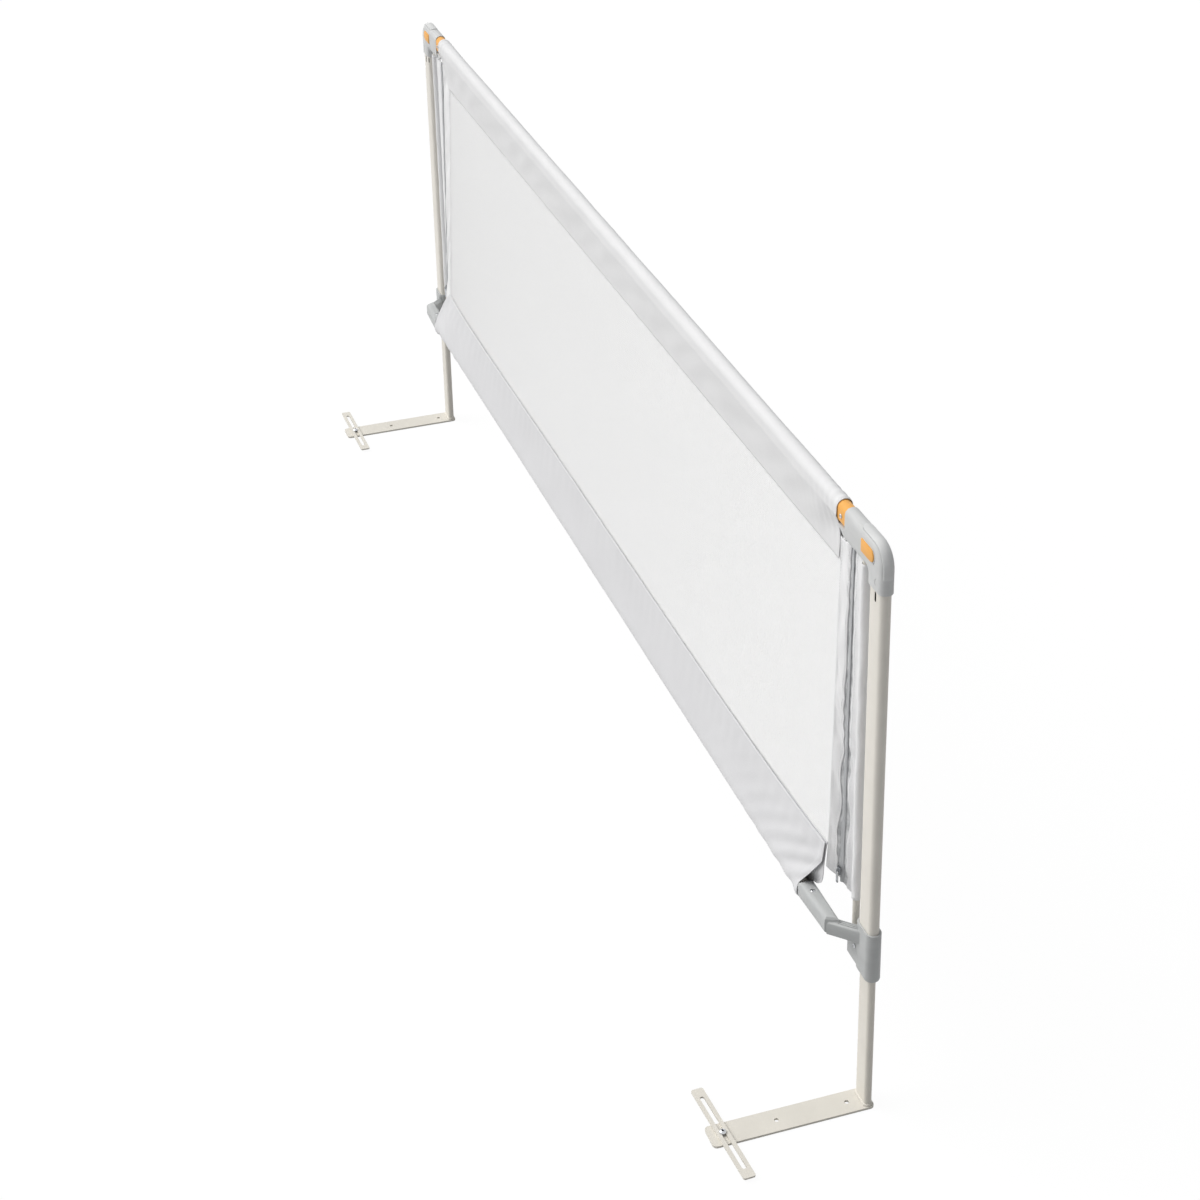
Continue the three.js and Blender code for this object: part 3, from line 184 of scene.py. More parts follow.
class Finish:
    """A material's node tree with one call per node."""

    def __init__(self, name, **shader):
        self.material = bpy.data.materials.new(name)
        self.material.use_nodes = True
        self.tree = self.material.node_tree
        self.shader = self.tree.nodes["Principled BSDF"]
        for key, value in shader.items():
            self.shader.inputs[key.replace("_", " ")].default_value = value
        place = self.tree.nodes.new("ShaderNodeTexCoord")
        self.object, self.uv = place.outputs["Object"], place.outputs["UV"]

    def node(self, kind, inputs=None, **settings):
        made = self.tree.nodes.new(kind)
        for key, value in settings.items():
            setattr(made, key, value)
        for key, value in (inputs or {}).items():
            if isinstance(value, bpy.types.NodeSocket):
                self.tree.links.new(value, made.inputs[key])
            else:
                made.inputs[key].default_value = value
        return made

    def noise(self, where, scale, detail=3.0, roughness=0.55):
        made = self.node("ShaderNodeTexNoise", {"Vector": where, "Scale": scale, "Detail": detail,
                                                "Roughness": roughness})
        return made.outputs["Fac"]

    def stretched(self, where, scale):
        return self.node("ShaderNodeMapping", {"Vector": where, "Scale": scale}).outputs["Vector"]

    def ranged(self, value, low, high, start=0.3, end=0.7):
        made = self.node("ShaderNodeMapRange", {"Value": value, "From Min": start, "From Max": end,
                                                "To Min": low, "To Max": high})
        return made.outputs["Result"]

    def blended(self, share, first, second):
        made = self.node("ShaderNodeMix", data_type="RGBA")
        for socket, value in zip((made.inputs[0], made.inputs[6], made.inputs[7]), (share, first, second)):
            if isinstance(value, bpy.types.NodeSocket):
                self.tree.links.new(value, socket)
            else:
                socket.default_value = value
        return made.outputs[2]

    def maths(self, operation, first, second=0.0):
        made = self.node("ShaderNodeMath", {0: first, 1: second}, operation=operation)
        return made.outputs[0]

    def bands(self, where, axis, pitch):
        """Smooth bands of that pitch in metres across one axis; the texture turns 20 times scale per unit."""
        scale = 2 * np.pi / 20 / pitch
        made = self.node("ShaderNodeTexWave", {"Vector": where, "Scale": scale, "Distortion": 0.0},
                         wave_type="BANDS", bands_direction=axis, wave_profile="SIN")
        return made.outputs["Fac"]

    def bumped(self, height, distance, strength=1.0):
        made = self.node("ShaderNodeBump", {"Height": height, "Distance": distance, "Strength": strength})
        self.tree.links.new(made.outputs["Normal"], self.shader.inputs["Normal"])

    def drive(self, **sockets):
        for key, value in sockets.items():
            self.tree.links.new(value, self.shader.inputs[key.replace("_", " ")])
        return self.material


def enamel_colour(f, code):
    """Faint mottling over a fine orange peel."""
    f.bumped(f.noise(f.object, 900.0, 2.0), 0.12 * MM, 0.35)
    return f.blended(f.ranged(f.noise(f.object, 22.0), 0.0, 1.0), tint(code, 0.965), tint(code, 1.02))


def enamel_gloss(f):
    return f.ranged(f.noise(f.object, 60.0), 0.36, 0.5)


def enamel(name, code):
    """Satin powder coat with a patchy gloss."""
    f = Finish(name, Specular_IOR_Level=0.15)
    return f.drive(Base_Color=enamel_colour(f, code), Roughness=enamel_gloss(f))


def post_enamel(name, code):
    """Powder coat, with a near-black painted shade inside the tube, which keeps its ends and slots dark:
    nearer to the oval's core than the middle of its wall, so where max(|x| - flat, 0) ** 2 + y ** 2 is under
    the radius squared."""
    f = Finish(name, Specular_IOR_Level=0.15)
    outside = enamel_colour(f, code)
    place = f.node("ShaderNodeSeparateXYZ", {"Vector": f.object})
    along = f.maths("ABSOLUTE", f.maths("SUBTRACT", place.outputs["X"], RAIL_X))
    past = f.maths("ABSOLUTE", f.maths("SUBTRACT", along, POST_X))
    past = f.maths("MAXIMUM", f.maths("SUBTRACT", past, POST_FLAT), 0.0)
    across = f.maths("SUBTRACT", place.outputs["Y"], RAIL_Y)
    square = f.maths("ADD", f.maths("MULTIPLY", past, past), f.maths("MULTIPLY", across, across))
    # painted shade: near black inside the tube's wall, where the slots look in
    painted_inner_shade = f.maths("LESS_THAN", square, POST_WALL_RADIUS ** 2)
    colour = f.blended(painted_inner_shade, outside, tint("1d1c1b"))
    return f.drive(Base_Color=colour, Roughness=enamel_gloss(f))


def moulded(name, code, rough):
    """Moulded plastic: an even colour with slight flow marks, and fine spark grain in the gloss and bump."""
    f = Finish(name, Specular_IOR_Level=0.18)
    flow = f.noise(f.stretched(f.object, (1.0, 1.0, 3.0)), 30.0, 4.0)
    colour = f.blended(f.ranged(flow, 0.0, 1.0), tint(code, 0.95), tint(code, 1.03))
    spark = f.noise(f.object, 1600.0, 3.0, 0.7)
    f.bumped(spark, 0.1 * MM, 0.5)
    return f.drive(Base_Color=colour, Roughness=f.ranged(spark, rough - 0.07, rough + 0.07))


def steel(name, code, rough=0.3):
    """Zinc-plated steel: cloudy plating and fine turning marks."""
    f = Finish(name, Metallic=1.0)
    cloud = f.noise(f.object, 180.0, 4.0)
    colour = f.blended(f.ranged(cloud, 0.0, 1.0), tint(code, 0.86), tint(code, 1.04))
    marks = f.noise(f.stretched(f.object, (1.0, 1.0, 12.0)), 700.0, 2.0)
    f.bumped(marks, 0.04 * MM, 0.4)
    return f.drive(Base_Color=colour, Roughness=f.ranged(cloud, rough - 0.08, rough + 0.1))


def steel_with_painted_recess_shade(name, code):
    """As steel, with painted shade in the recess: dark and dull where the mesh's own map says recess, which
    is its first coordinate.
    """
    f = Finish(name, Metallic=1.0)
    recess = f.node("ShaderNodeSeparateXYZ", {"Vector": f.uv}).outputs["X"]
    cloud = f.noise(f.object, 180.0, 4.0)
    bright = f.blended(f.ranged(cloud, 0.0, 1.0), tint(code, 0.86), tint(code, 1.04))
    # painted shade: near black inside the driver recess
    colour = f.blended(recess, bright, tint("242424"))
    return f.drive(Base_Color=colour, Roughness=f.ranged(recess, 0.28, 0.7, 0, 1))


def woven(name, code, pitch=1.1 * MM, crumple=0.0):
    """Plain weave on the cloth's own UV map: crossed bands lift each thread, whose crossings are painted
    paler as a painted highlight, with slubs and faint soiling, and where the cloth is crumpled, creases a few
    millimetres wide that deep."""
    f = Finish(name, Sheen_Weight=0.2, Sheen_Roughness=0.4, Specular_IOR_Level=0.3)
    over, under = f.bands(f.uv, "X", pitch), f.bands(f.uv, "Y", pitch)
    weave = f.maths("MULTIPLY", over, under)
    slub = f.noise(f.stretched(f.uv, (1.0, 9.0, 1.0)), 140.0, 3.0)
    cloud = f.noise(f.uv, 9.0, 3.0)
    base = f.blended(f.ranged(cloud, 0.0, 1.0), tint(code, 0.97), tint(code, 1.015))
    # painted highlight: the weave's raised crossings painted paler than the cloth
    threads = f.blended(f.ranged(weave, 0.0, 0.35, 0.0, 1.0), base, tint(code, 1.06))
    colour = f.blended(f.ranged(slub, 0.0, 0.3, 0.45, 0.8), threads, tint(code, 0.92))
    relief = f.maths("MULTIPLY", f.maths("ADD", weave, f.maths("MULTIPLY", slub, 0.6)), 0.12 * MM)
    if crumple:
        wrinkle = f.noise(f.stretched(f.uv, (1.0, 0.6, 1.0)), 95.0, 4.0, 0.6)
        relief = f.maths("ADD", relief, f.maths("MULTIPLY", wrinkle, crumple * 2))
    f.bumped(relief, 1.0, 0.5)
    return f.drive(Base_Color=colour, Roughness=f.ranged(slub, 0.79, 0.93))


def tape_with_painted_crease_shade(name, code, pale):
    """Herringbone tape: steep bands that change sides every 3 mm, greyed in noise patches as painted shade of
    crinkles, and paler on its ribs as a painted highlight.
    """
    f = Finish(name, Sheen_Weight=0.15, Specular_IOR_Level=0.3)
    place = f.node("ShaderNodeSeparateXYZ", {"Vector": f.uv})
    fold = f.maths("PINGPONG", place.outputs["X"], 3 * MM)
    slanted = f.node("ShaderNodeCombineXYZ", {"X": f.maths("ADD", place.outputs["Y"], fold)})
    ribs = f.bands(slanted.outputs["Vector"], "X", 1.1 * MM)
    patch = f.noise(f.stretched(f.uv, (1.0, 0.45, 1.0)), 100.0, 3.0, 0.6)
    # painted shade: noise patches of darker grey standing for the tape's crinkles
    base = f.blended(f.ranged(patch, 0.0, 1.0, 0.35, 0.62), tint(code), tint(pale))
    # painted highlight: the ribs paler than the tape
    colour = f.blended(f.ranged(ribs, 0.0, 0.3, 0.0, 1.0), base, tint(pale, 1.05))
    f.bumped(ribs, 0.12 * MM, 0.5)
    return f.drive(Base_Color=colour, Roughness=f.ranged(patch, 0.74, 0.9))


def thread(name, code):
    """Spun thread: fine twisted streaks on Object coordinates."""
    f = Finish(name, Sheen_Weight=0.2)
    twist = f.noise(f.object, 1500.0, 2.0)
    colour = f.blended(f.ranged(twist, 0.0, 1.0), tint(code, 0.94), tint(code, 1.04))
    return f.drive(Base_Color=colour, Roughness=f.ranged(twist, 0.72, 0.88))


CREAM = enamel("cream_enamel", "dedad1")
# painted light: the posts' cream is a little paler than the same paint on the other cream parts
POST_CREAM = post_enamel("cream_enamel_on_posts", "e3dfd7")
HOUSING_GREY = moulded("housing_grey", "cccdcd", 0.46)
CAP_GREY = moulded("cap_grey", "d4d5d5", 0.44)
# painted shade: the brackets' grey is darker than the same plastic on the housings
BRACKET_GREY = moulded("bracket_grey", "b9bbbb", 0.46)
BUTTON_ORANGE = moulded("button_orange", "f0b05c", 0.42)
GUIDE_DARK = moulded("guide_dark", "4a4d50", 0.55)
ZINC = steel("zinc_plate", "c9ccd0")
# painted shade: the latch strip seen through the posts' slots is near black, standing in for the shade there
DARK_STRIP = steel("strip_dark_as_painted_shade", "3a3b3d", 0.45)
SCREW_STEEL = steel_with_painted_recess_shade("screw_steel", "d3d5d8")
# One grey cloth in three tones: the lower sleeve's is a darker copy, painted shade, and the flaps' a paler
# copy, painted light
TOP_CLOTH = woven("top_sleeve_cloth", "e2e2e3")
LOW_CLOTH = woven("low_sleeve_cloth_painted_shade", "d8d8da")
FLAP_CLOTH = woven("flap_cloth_painted_light", "ebebec", 1.2 * MM, crumple=1.2 * MM)
TAPE_CLOTH = tape_with_painted_crease_shade("tape_cloth", "96989b", "e0e1e2")
NET_THREAD = thread("net_thread", "fbfbfb")
STITCH_THREAD = thread("stitch_thread", "d8d9db")
CHAIN_COIL = moulded("chain_coil", "bcbec0", 0.35)
SLIDER_METAL = steel("slider_metal", "7d8084", 0.35)

for node, material in {
    "foot_plate": CREAM, "leg_tube": CREAM, "post_tube": POST_CREAM, "t_bar": CREAM, "side_rod": CREAM,
    "top_tube": CREAM, "lower_tube": CREAM, "leg_guide": GUIDE_DARK, "corner_housing": HOUSING_GREY,
    "corner_cap": CAP_GREY, "release_button": BUTTON_ORANGE, "tube_collar": BUTTON_ORANGE,
    "lower_bracket": BRACKET_GREY, "latch_strip": DARK_STRIP, "zip_slider": SLIDER_METAL, "zip_pull": ZINC,
}.items():
    for side in SIDES:
        cad[f"{node}_{side}"].data.materials.clear()
        cad[f"{node}_{side}"].data.materials.append(material)
for node in ("top_tube_joiner", "lower_tube_joiner"):
    cad[node].data.materials.clear()
    cad[node].data.materials.append(ZINC)


def eased_edges(node):
    """Smooth shading over a node's rounds, with its creases kept: doubles welded, split above 32 degrees."""
    made = cad[node]
    made.data.polygons.foreach_set("use_smooth", [True] * len(made.data.polygons))
    made.modifiers.new("weld", "WELD").merge_threshold = 0.01 * MM
    split = made.modifiers.new("creases", "EDGE_SPLIT")
    split.split_angle, split.use_edge_sharp = np.radians(32), False


for node in cad:
    eased_edges(node)


# Screws and bolts

def cross_recess(x, y):
    """1 inside a crossed driver recess: two bars whose edges fall off softly."""
    half_long, half_wide, edge = 1.55 * MM, 0.46 * MM, 0.12 * MM
    bars = [smooth_step(half_long - a, 0, edge) * smooth_step(half_wide - b, 0, edge)
            for a, b in ((np.abs(x), np.abs(y)), (np.abs(y), np.abs(x)))]
    return np.maximum(*bars)


def hexagon_recess(x, y):
    """1 inside a hexagon: the largest of three slanted widths is under half of that across its flats."""
    half_flats, edge = 1.7 * MM, 0.08 * MM
    widths = [np.abs(x * np.cos(a) + y * np.sin(a)) for a in np.radians([0, 60, 120])]
    return smooth_step(half_flats - np.maximum.reduce(widths), -edge, edge)


# Head's width and height, shank, driver recess and its depth
SCREW = SimpleNamespace(head=5.6 * MM, tall=1.3 * MM, shank=3 * MM, recess=cross_recess, depth=0.8 * MM)
BOLT = SimpleNamespace(head=9.4 * MM, tall=3.4 * MM, shank=4.8 * MM, recess=hexagon_recess, depth=1.6 * MM)


def headed_screw(node, body, axis, size):
    """A screw revolved from tip to dome, where the dome is r = R cos t, h = rim + (H - rim) sin t, less the
    recess. It takes the node's place; axis is the head's way, and the node's box gives tip and top."""
    low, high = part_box(node)
    centre = np.array((low + high) / 2) - (RAIL_X, RAIL_Y, 0)
    half = np.abs(np.array(high - low) @ np.array(axis)) / 2
    first = np.array([1.0, 0, 0])
    second = np.cross(axis, first)
    length, radius, shank = 2 * half - size.tall, size.head / 2, size.shank / 2
    rim, tip, tip_long, pole = 0.3 * MM, 0.3 * MM, 0.8 * MM, 0.03 * MM
    rise = np.linspace(0, np.pi / 2, 44)
    r = np.concatenate([[tip, shank, shank, radius - rim / 2], radius * np.cos(rise)[:-1], [pole]])
    h = np.concatenate([[-length, -length + tip_long, 0, 0], rim + (size.tall - rim) * np.sin(rise)])
    turn = np.linspace(0, 2 * np.pi, 97)[:-1]
    x, y = r[:, None] * np.cos(turn), r[:, None] * np.sin(turn)
    inside = size.recess(x, y) * (h > rim / 2)[:, None]
    level = h[:, None] - size.depth * inside - half + length
    rings = centre + x[..., None] * first + y[..., None] * second + level[..., None] * np.array(axis)
    # the recess's share also goes in the map, where the screw's finish paints shade
    uv = np.stack([inside, inside], -1)
    made = swept(f"{node}_turned", rings[None], SCREW_STEEL, body, uv)
    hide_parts(node)


def screws():
    for name in SIDES:
        for word, axis in (("collar_screw", (0, -1, 0)), ("arm_screw", (0, 0, 1)), ("web_screw", (0, -1, 0))):
            headed_screw(f"{word}_{name}", "rail", axis, SCREW)
        headed_screw(f"t_bar_bolt_{name}", f"t_bar_bolt_{name}", (0, 0, 1), BOLT)


# Sleeves

def low_seam(x):
    """The lower seam's Y and Z: it rises and comes back towards the posts at the rail's ends."""
    share = np.clip(np.abs(x) / (POST_X - EDGES["right"].low), 0, 1)
    y = LOW_SEAM_MID_Y + (LOW_SEAM_END_Y - LOW_SEAM_MID_Y) * share ** 6
    rise = np.where(x > 0, EDGES["right"].rise, EDGES["left"].rise)
    return y, LOW_SLEEVE.z + LOW_SEAM_MID_RISE + (rise - LOW_SEAM_MID_RISE) * share ** 2


def top_seam(x):
    return TOP_SEAM_Y + 0 * x, TOP_SEAM_Z + 0 * x


def lean_share(distance, drop):
    """How far a sleeve's end has drawn in towards the net's end, at a distance from its tube: a square."""
    return np.clip((distance - LEAN_START) / (drop - LEAN_START), 0, 1) ** 2


def open_lean(distance, back):
    """How far an end that opens outwards has leaned: evenly on the front layer, and sooner on the back one,
    as 1 - (1 - t) ** 3, both from just past the tube."""
    front = np.clip((distance - OPEN_LEAN.start) / OPEN_LEAN.front, 0, 1)
    behind = 1 - (1 - np.clip((distance - OPEN_LEAN.start) / OPEN_LEAN.back, 0, 1)) ** 3
    return np.where(back, behind, front)


def leant(sleeve, share, distance, drop, back):
    """Places along the rail: the end's lap over the collar or arm, and its lean to the net's end at the seam,
    both fading from the end as share ** 4."""
    x = (POST_X - sleeve.end) * share
    lap = sleeve.lap * (1 - smooth_step(distance, *LAP_FADE))
    out = lap
    for name, side in SIDES.items():
        edge = getattr(EDGES[name], sleeve.level)
        if edge < sleeve.end - OPEN_LEAN.least:
            way = (sleeve.end - edge) * open_lean(distance, back)
        else:
            way = (sleeve.end - edge) * lean_share(distance, drop)
        out = np.where(np.sign(x) == side, lap + way, out)
    return x + np.sign(x) * out * np.abs(share) ** 4


def sleeve_points(sleeve, share, around, seam_at, creases):
    """A cloth loop over a tube. around runs from -1, the seam on one layer, over the tube at 0, to 1, the
    seam on the other layer. The half section is a quarter circle, a straight side, and a layer that closes
    to the seam as (1 - q) ** closing, sooner at a pinched end. The radius swells at the ends to clear the
    collar or arm, creases lifts the cloth along its normal, and a hem stands proud at the very end."""
    share, around = np.broadcast_arrays(share[:, None], around[None])
    x = (POST_X - sleeve.end) * share
    seam = seam_at(x)
    down = np.stack([seam[0] - sleeve.y, seam[1] - sleeve.z], -1)
    length = np.linalg.norm(down, axis=-1)
    down = down / length[..., None]
    side = np.stack([-down[..., 1], down[..., 0]], -1)
    quarter = np.pi * sleeve.radius / 2
    run = np.abs(around) * (quarter + length + sleeve.straight)
    angle = np.clip(run / sleeve.radius, 0, np.pi / 2)
    past = np.maximum(run - quarter, 0)
    q = np.clip((past - 2 * sleeve.straight) / (length - sleeve.straight), 0, 1)
    distance = np.where(run < quarter, -sleeve.radius * np.cos(angle), past) - sleeve.straight
    along = leant(sleeve, share, distance, length, around * sleeve.front < 0)
    from_end = POST_X - sleeve.end - np.abs(along)
    radius = sleeve.radius + (sleeve.hug - sleeve.radius) * smooth_step(-from_end, HUG_FROM, HUG_TO)
    own_end = (POST_X - sleeve.end) * (1 - np.abs(share))
    closing = CLOSING + sleeve.pinch * (1 - smooth_step(own_end, 0, PINCH_LENGTH))
    wide = np.where(run < quarter, radius * np.sin(angle), radius * (1 - q) ** closing + CLOTH * q)
    deep = np.where(run < quarter, -radius * np.cos(angle), past)
    sign = np.sign(around)
    out = np.stack([sign * np.sin(angle), -np.cos(angle)], -1)
    hem = HEM.rise * (1 - smooth_step(own_end, HEM.width, HEM.edge)) * smooth_step(distance, 0, HEM.from_tube)
    lift = creases(x, run, q) + hem
    local = np.stack([sign * wide, deep - sleeve.straight], -1) + out * lift[..., None]
    y = sleeve.y + local[..., 0] * side[..., 0] + local[..., 1] * down[..., 0]
    z = sleeve.z + local[..., 0] * side[..., 1] + local[..., 1] * down[..., 1]
    return np.stack([along, y, z], -1), np.stack([x, np.sign(around) * run], -1)


def sleeve_columns(count):
    """Shares along a sleeve, closer together towards its ends: sin of an even spread, flattened."""
    even = np.linspace(-1, 1, count)
    return 0.35 * np.sin(even * np.pi / 2) + 0.65 * np.sign(even) * (1 - (1 - np.abs(even)) ** 1.5)


def top_creases(x, run, q):
    """Rings pushed together at the ends, fading along the rail, long slack waves, and slanting pulls half
    way down the cloth as sines of place and run under a bell curve."""
    from_end = POST_X - TOP_SLEEVE.end - np.abs(x)
    pitch, fade, turn = 15.5 * MM, 50 * MM, 112.5
    rings = 0.9 * MM * np.exp(-from_end / fade) * (1 + np.sin(from_end / pitch * 2 * np.pi + turn * run)) / 2
    slack = 0.6 * MM * np.sin(x * 21 + 2.2 * np.sin(x * 7)) * np.sin(run / (90 * MM) * np.pi)
    belly = np.exp(-((run - 55 * MM) / (30 * MM)) ** 2)
    pulls = 0.5 * MM * np.sin(x * 63 + run * 120 + 1.3 * np.sin(x * 17)) * belly
    return (rings + slack + pulls) * (1 - q ** 3) * smooth_step(from_end, 0, CREASE_START)


def low_creases(x, run, q):
    """Slanting drag lines near the ends and faint upright ripples where the cloth is stitched to the net."""
    from_end = POST_X - LOW_SLEEVE.end - np.abs(x)
    pitch, fade = 34 * MM, 110 * MM
    drag = 1.0 * MM * np.exp(-from_end / fade) * np.sin((from_end * 0.8 + run * 0.9) / pitch * 2 * np.pi)
    slack = 0.7 * MM * np.sin(x * 17 + 1.9 * np.sin(x * 5.3)) * np.sin(run / (110 * MM) * np.pi)
    ripple = 0.4 * MM * np.sin(x / (28 * MM) * 2 * np.pi + 1.7 * np.sin(x * 23)) * q ** 2
    folds = (drag + slack) * (1 - q ** 3) + ripple * (1 - q ** 8)
    return folds * smooth_step(from_end, 0, CREASE_START)


def top_cloth(share, around):
    return sleeve_points(TOP_SLEEVE, share, around, top_seam, top_creases)


def low_cloth(share, around):
    return sleeve_points(LOW_SLEEVE, share, around, low_seam, low_creases)


# Each tube's cloth: its surface, its sleeve, the flat cloth's width round the tube, and its finish
CLOTHS = {
    "top": SimpleNamespace(place=top_cloth, sleeve=TOP_SLEEVE, girth=164 * MM, finish=TOP_CLOTH),
    "lower": SimpleNamespace(place=low_cloth, sleeve=LOW_SLEEVE, girth=214 * MM, finish=LOW_CLOTH),
}


def sleeves():
    share = sleeve_columns(361)
    around = np.linspace(-1, 1, 73)
    faces = grid_faces(len(share), len(around))
    for word, cloth in CLOTHS.items():
        points, uv = cloth.place(share, around)
        made = thickened(piece(f"sleeve_over_{word}_tube", points, faces, cloth.finish, "rail", uv), CLOTH)
        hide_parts(f"{word}_sleeve")


# Net

def net_place(u, v):
    """The net's middle: u from 0 at its left end to 1 at its right, v from 0 in the lower seam to 1 in the
    upper one. Its ends run straight from seam to seam."""
    left = -POST_X + EDGES["left"].low + (EDGES["left"].top - EDGES["left"].low) * v
    right = POST_X - EDGES["right"].low - (EDGES["right"].top - EDGES["right"].low) * v
    x = left + (right - left) * u
    y, z = low_seam(x)
    tuck = 4 * MM
    return np.stack([x, y + (TOP_SEAM_Y - y) * v, z - tuck + (TOP_SEAM_Z + 2 * tuck - z) * v], -1)


def ribbon_rings(middle_line, wide, thick):
    """Rings of four corners round middle lines (bars, steps, 3): wide is a vector in the net, whose cross
    product with the line's way points to the mattress, and thick is along Y."""
    corners = np.array([[-1, -1], [1, -1], [1, 1], [-1, 1]]) / 2
    return middle_line[:, :, None] + corners[:, :1] * np.asarray(wide) + corners[:, 1:] * (0, thick, 0)


def net():
    """Knotless net of flat closed ribbons: upright threads, and threads along the rail just behind them."""
    pitch, wide, thick, tall = 2.6 * MM, 0.7 * MM, 0.25 * MM, 374 * MM
    behind = 0.8 * thick
    length = 2 * POST_X - EDGES["left"].low - EDGES["right"].low
    columns = np.linspace(0, 1, round(length / pitch) + 1)
    rows = np.linspace(0, 1, round(tall / pitch) + 1)[1:-1]
    v, u = np.linspace(0, 1, 9), np.linspace(0, 1, 41)
    upright = net_place(columns[:, None], v[None])
    along = net_place(u[None] + 0 * rows[:, None], rows[:, None] + 0 * u[None]) + (0, behind, 0)
    for name, lines, way in (("upright", upright, (wide, 0, 0)), ("long", along, (0, 0, -wide))):
        made = swept(f"net_{name}_threads", ribbon_rings(lines, way, thick), NET_THREAD, "rail", smooth=False)
        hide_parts("net_panel")


# Flaps and zips

def flap_edge(edges, height):
    """How far a flap's inner edge lies from the post: the net's end, and past the seams the sleeves' ends."""
    low_end = min(edges.low, LOW_SLEEVE.end)
    top_end = min(edges.top, TOP_SLEEVE.end)
    seam_z = LOW_SLEEVE.z + edges.rise
    between = edges.low + (edges.top - edges.low) * (height - seam_z) / (TOP_SEAM_Z - seam_z)
    above = top_end + (edges.top - top_end) * lean_share(TOP_SLEEVE.z - height, TOP_SLEEVE.z - TOP_SEAM_Z)
    below = low_end + (edges.low - low_end) * lean_share(height - LOW_SLEEVE.z, edges.rise)
    return np.where(height > TOP_SEAM_Z, above, np.where(height < seam_z, below, between))


def flap_width(name, height):
    return TUNNEL_X + flap_edge(EDGES[name], height)


def flap_start(name, height):
    """X of a flap's inner edge from the post."""
    return FLAP_INSET - flap_edge(EDGES[name], height)


def flap_depth(name, height):
    """Y of a flap's inner edge, from seam to seam."""
    seam_z = LOW_SLEEVE.z + EDGES[name].rise
    rise = np.minimum(1, (height - seam_z) / (TOP_SEAM_Z - seam_z))
    return LOW_SEAM_END_Y + (TOP_SEAM_Y - LOW_SEAM_END_Y) * rise


def zip_rise(height):
    """How far up the zip's line a height lies, from 0 to 1 between its two named heights."""
    return (height - ZIP_LINE_FROM) / (ZIP_LINE_TO - ZIP_LINE_FROM)


def zip_share(name, height, aside=0.0):
    """Share of a line beside the zip, which runs straight through the flap's points at ZIP_SHARE at its two
    named heights, as its slider does."""
    low_x, high_x = (flap_start(name, z) * (1 - ZIP_SHARE) + TUNNEL_X * ZIP_SHARE
                     for z in (ZIP_LINE_FROM, ZIP_LINE_TO))
    x = low_x + (high_x - low_x) * zip_rise(height)
    start = flap_start(name, height)
    return (x + aside - start) / (TUNNEL_X - start)


def flap_place(name, share, height, lift=0.0):
    """A side flap's surface: share 0 at the net's edge and 1 at the rod's tunnel. The flat cloth bends to the
    zip's straight line, folds and creases run slantwise as sines of height and x, held flat at the zip and
    at both edges, and lift moves the point towards the mattress."""
    edge_x, edge_y = flap_start(name, height), flap_depth(name, height)
    x = edge_x + (TUNNEL_X - edge_x) * share
    zip_at = zip_share(name, height)
    from_zip = share - zip_at
    low_y, high_y = (flap_depth(name, z) * (1 - ZIP_SHARE) for z in (ZIP_LINE_FROM, ZIP_LINE_TO))
    straight = low_y + (high_y - low_y) * zip_rise(height)
    near = np.minimum(share / zip_at, (1 - share) / (1 - zip_at))
    flat = edge_y * (1 - share) + (straight - edge_y * (1 - zip_at)) * near
    pucker = 29 * MM * from_zip ** 3 * np.sin(share * np.pi) * np.sin(height / (74 * MM) * 2 * np.pi)
    held = np.sin(np.pi * share) * np.minimum(1, np.abs(from_zip) / 0.17) ** 1.5
    fold = 1.9 * MM * np.sin(height * 41 + 3.1 * np.sin(height * 15) + x * 110)
    crease = 0.9 * MM * np.sin(height * 170 + 4 * np.sin(height * 33 + x * 60) + x * 260)
    y = flat + pucker + (fold + crease) * held - lift
    return np.stack([SIDES[name] * (POST_X + x), y, height + 0 * x], -1)


def strip_grid(name, start, end, columns):
    """Shares and heights of a strip between two edges, each a function of name and height; its foot slants
    down towards the rod."""
    u, v = np.meshgrid(np.linspace(0, 1, columns), np.linspace(0, 1, FLAP_ROWS))
    first, last = start(name, FLAP_LOW_INNER), end(name, FLAP_LOW_INNER)
    low = FLAP_LOW_INNER + (FLAP_LOW - FLAP_LOW_INNER) * (first + (last - first) * u)
    height = low + (FLAP_TOP - low) * v
    first, last = start(name, height), end(name, height)
    return first + (last - first) * u, height


def beside_zip(aside):
    """A strip's edge that far beside the zip's line, towards the post where aside is positive."""
    return lambda name, height: zip_share(name, height, aside)


def net_side(name, height):
    return 0 * height


def rod_side(name, height):
    return 1 + 0 * height


def outwards(faces, name):
    """Turns the faces of a left flap's grid, which is mirrored from the right one's."""
    return faces if SIDES[name] > 0 else faces[:, ::-1]


def flap_strip(word, name, start, end, columns, material, lift=0.0):
    share, height = strip_grid(name, start, end, columns)
    uv = np.stack([share * flap_width(name, height), height], -1)
    points = flap_place(name, share, height, lift)
    return piece(f"{word}_{name}", points, outwards(grid_faces(*share.shape), name), material, "rail", uv)


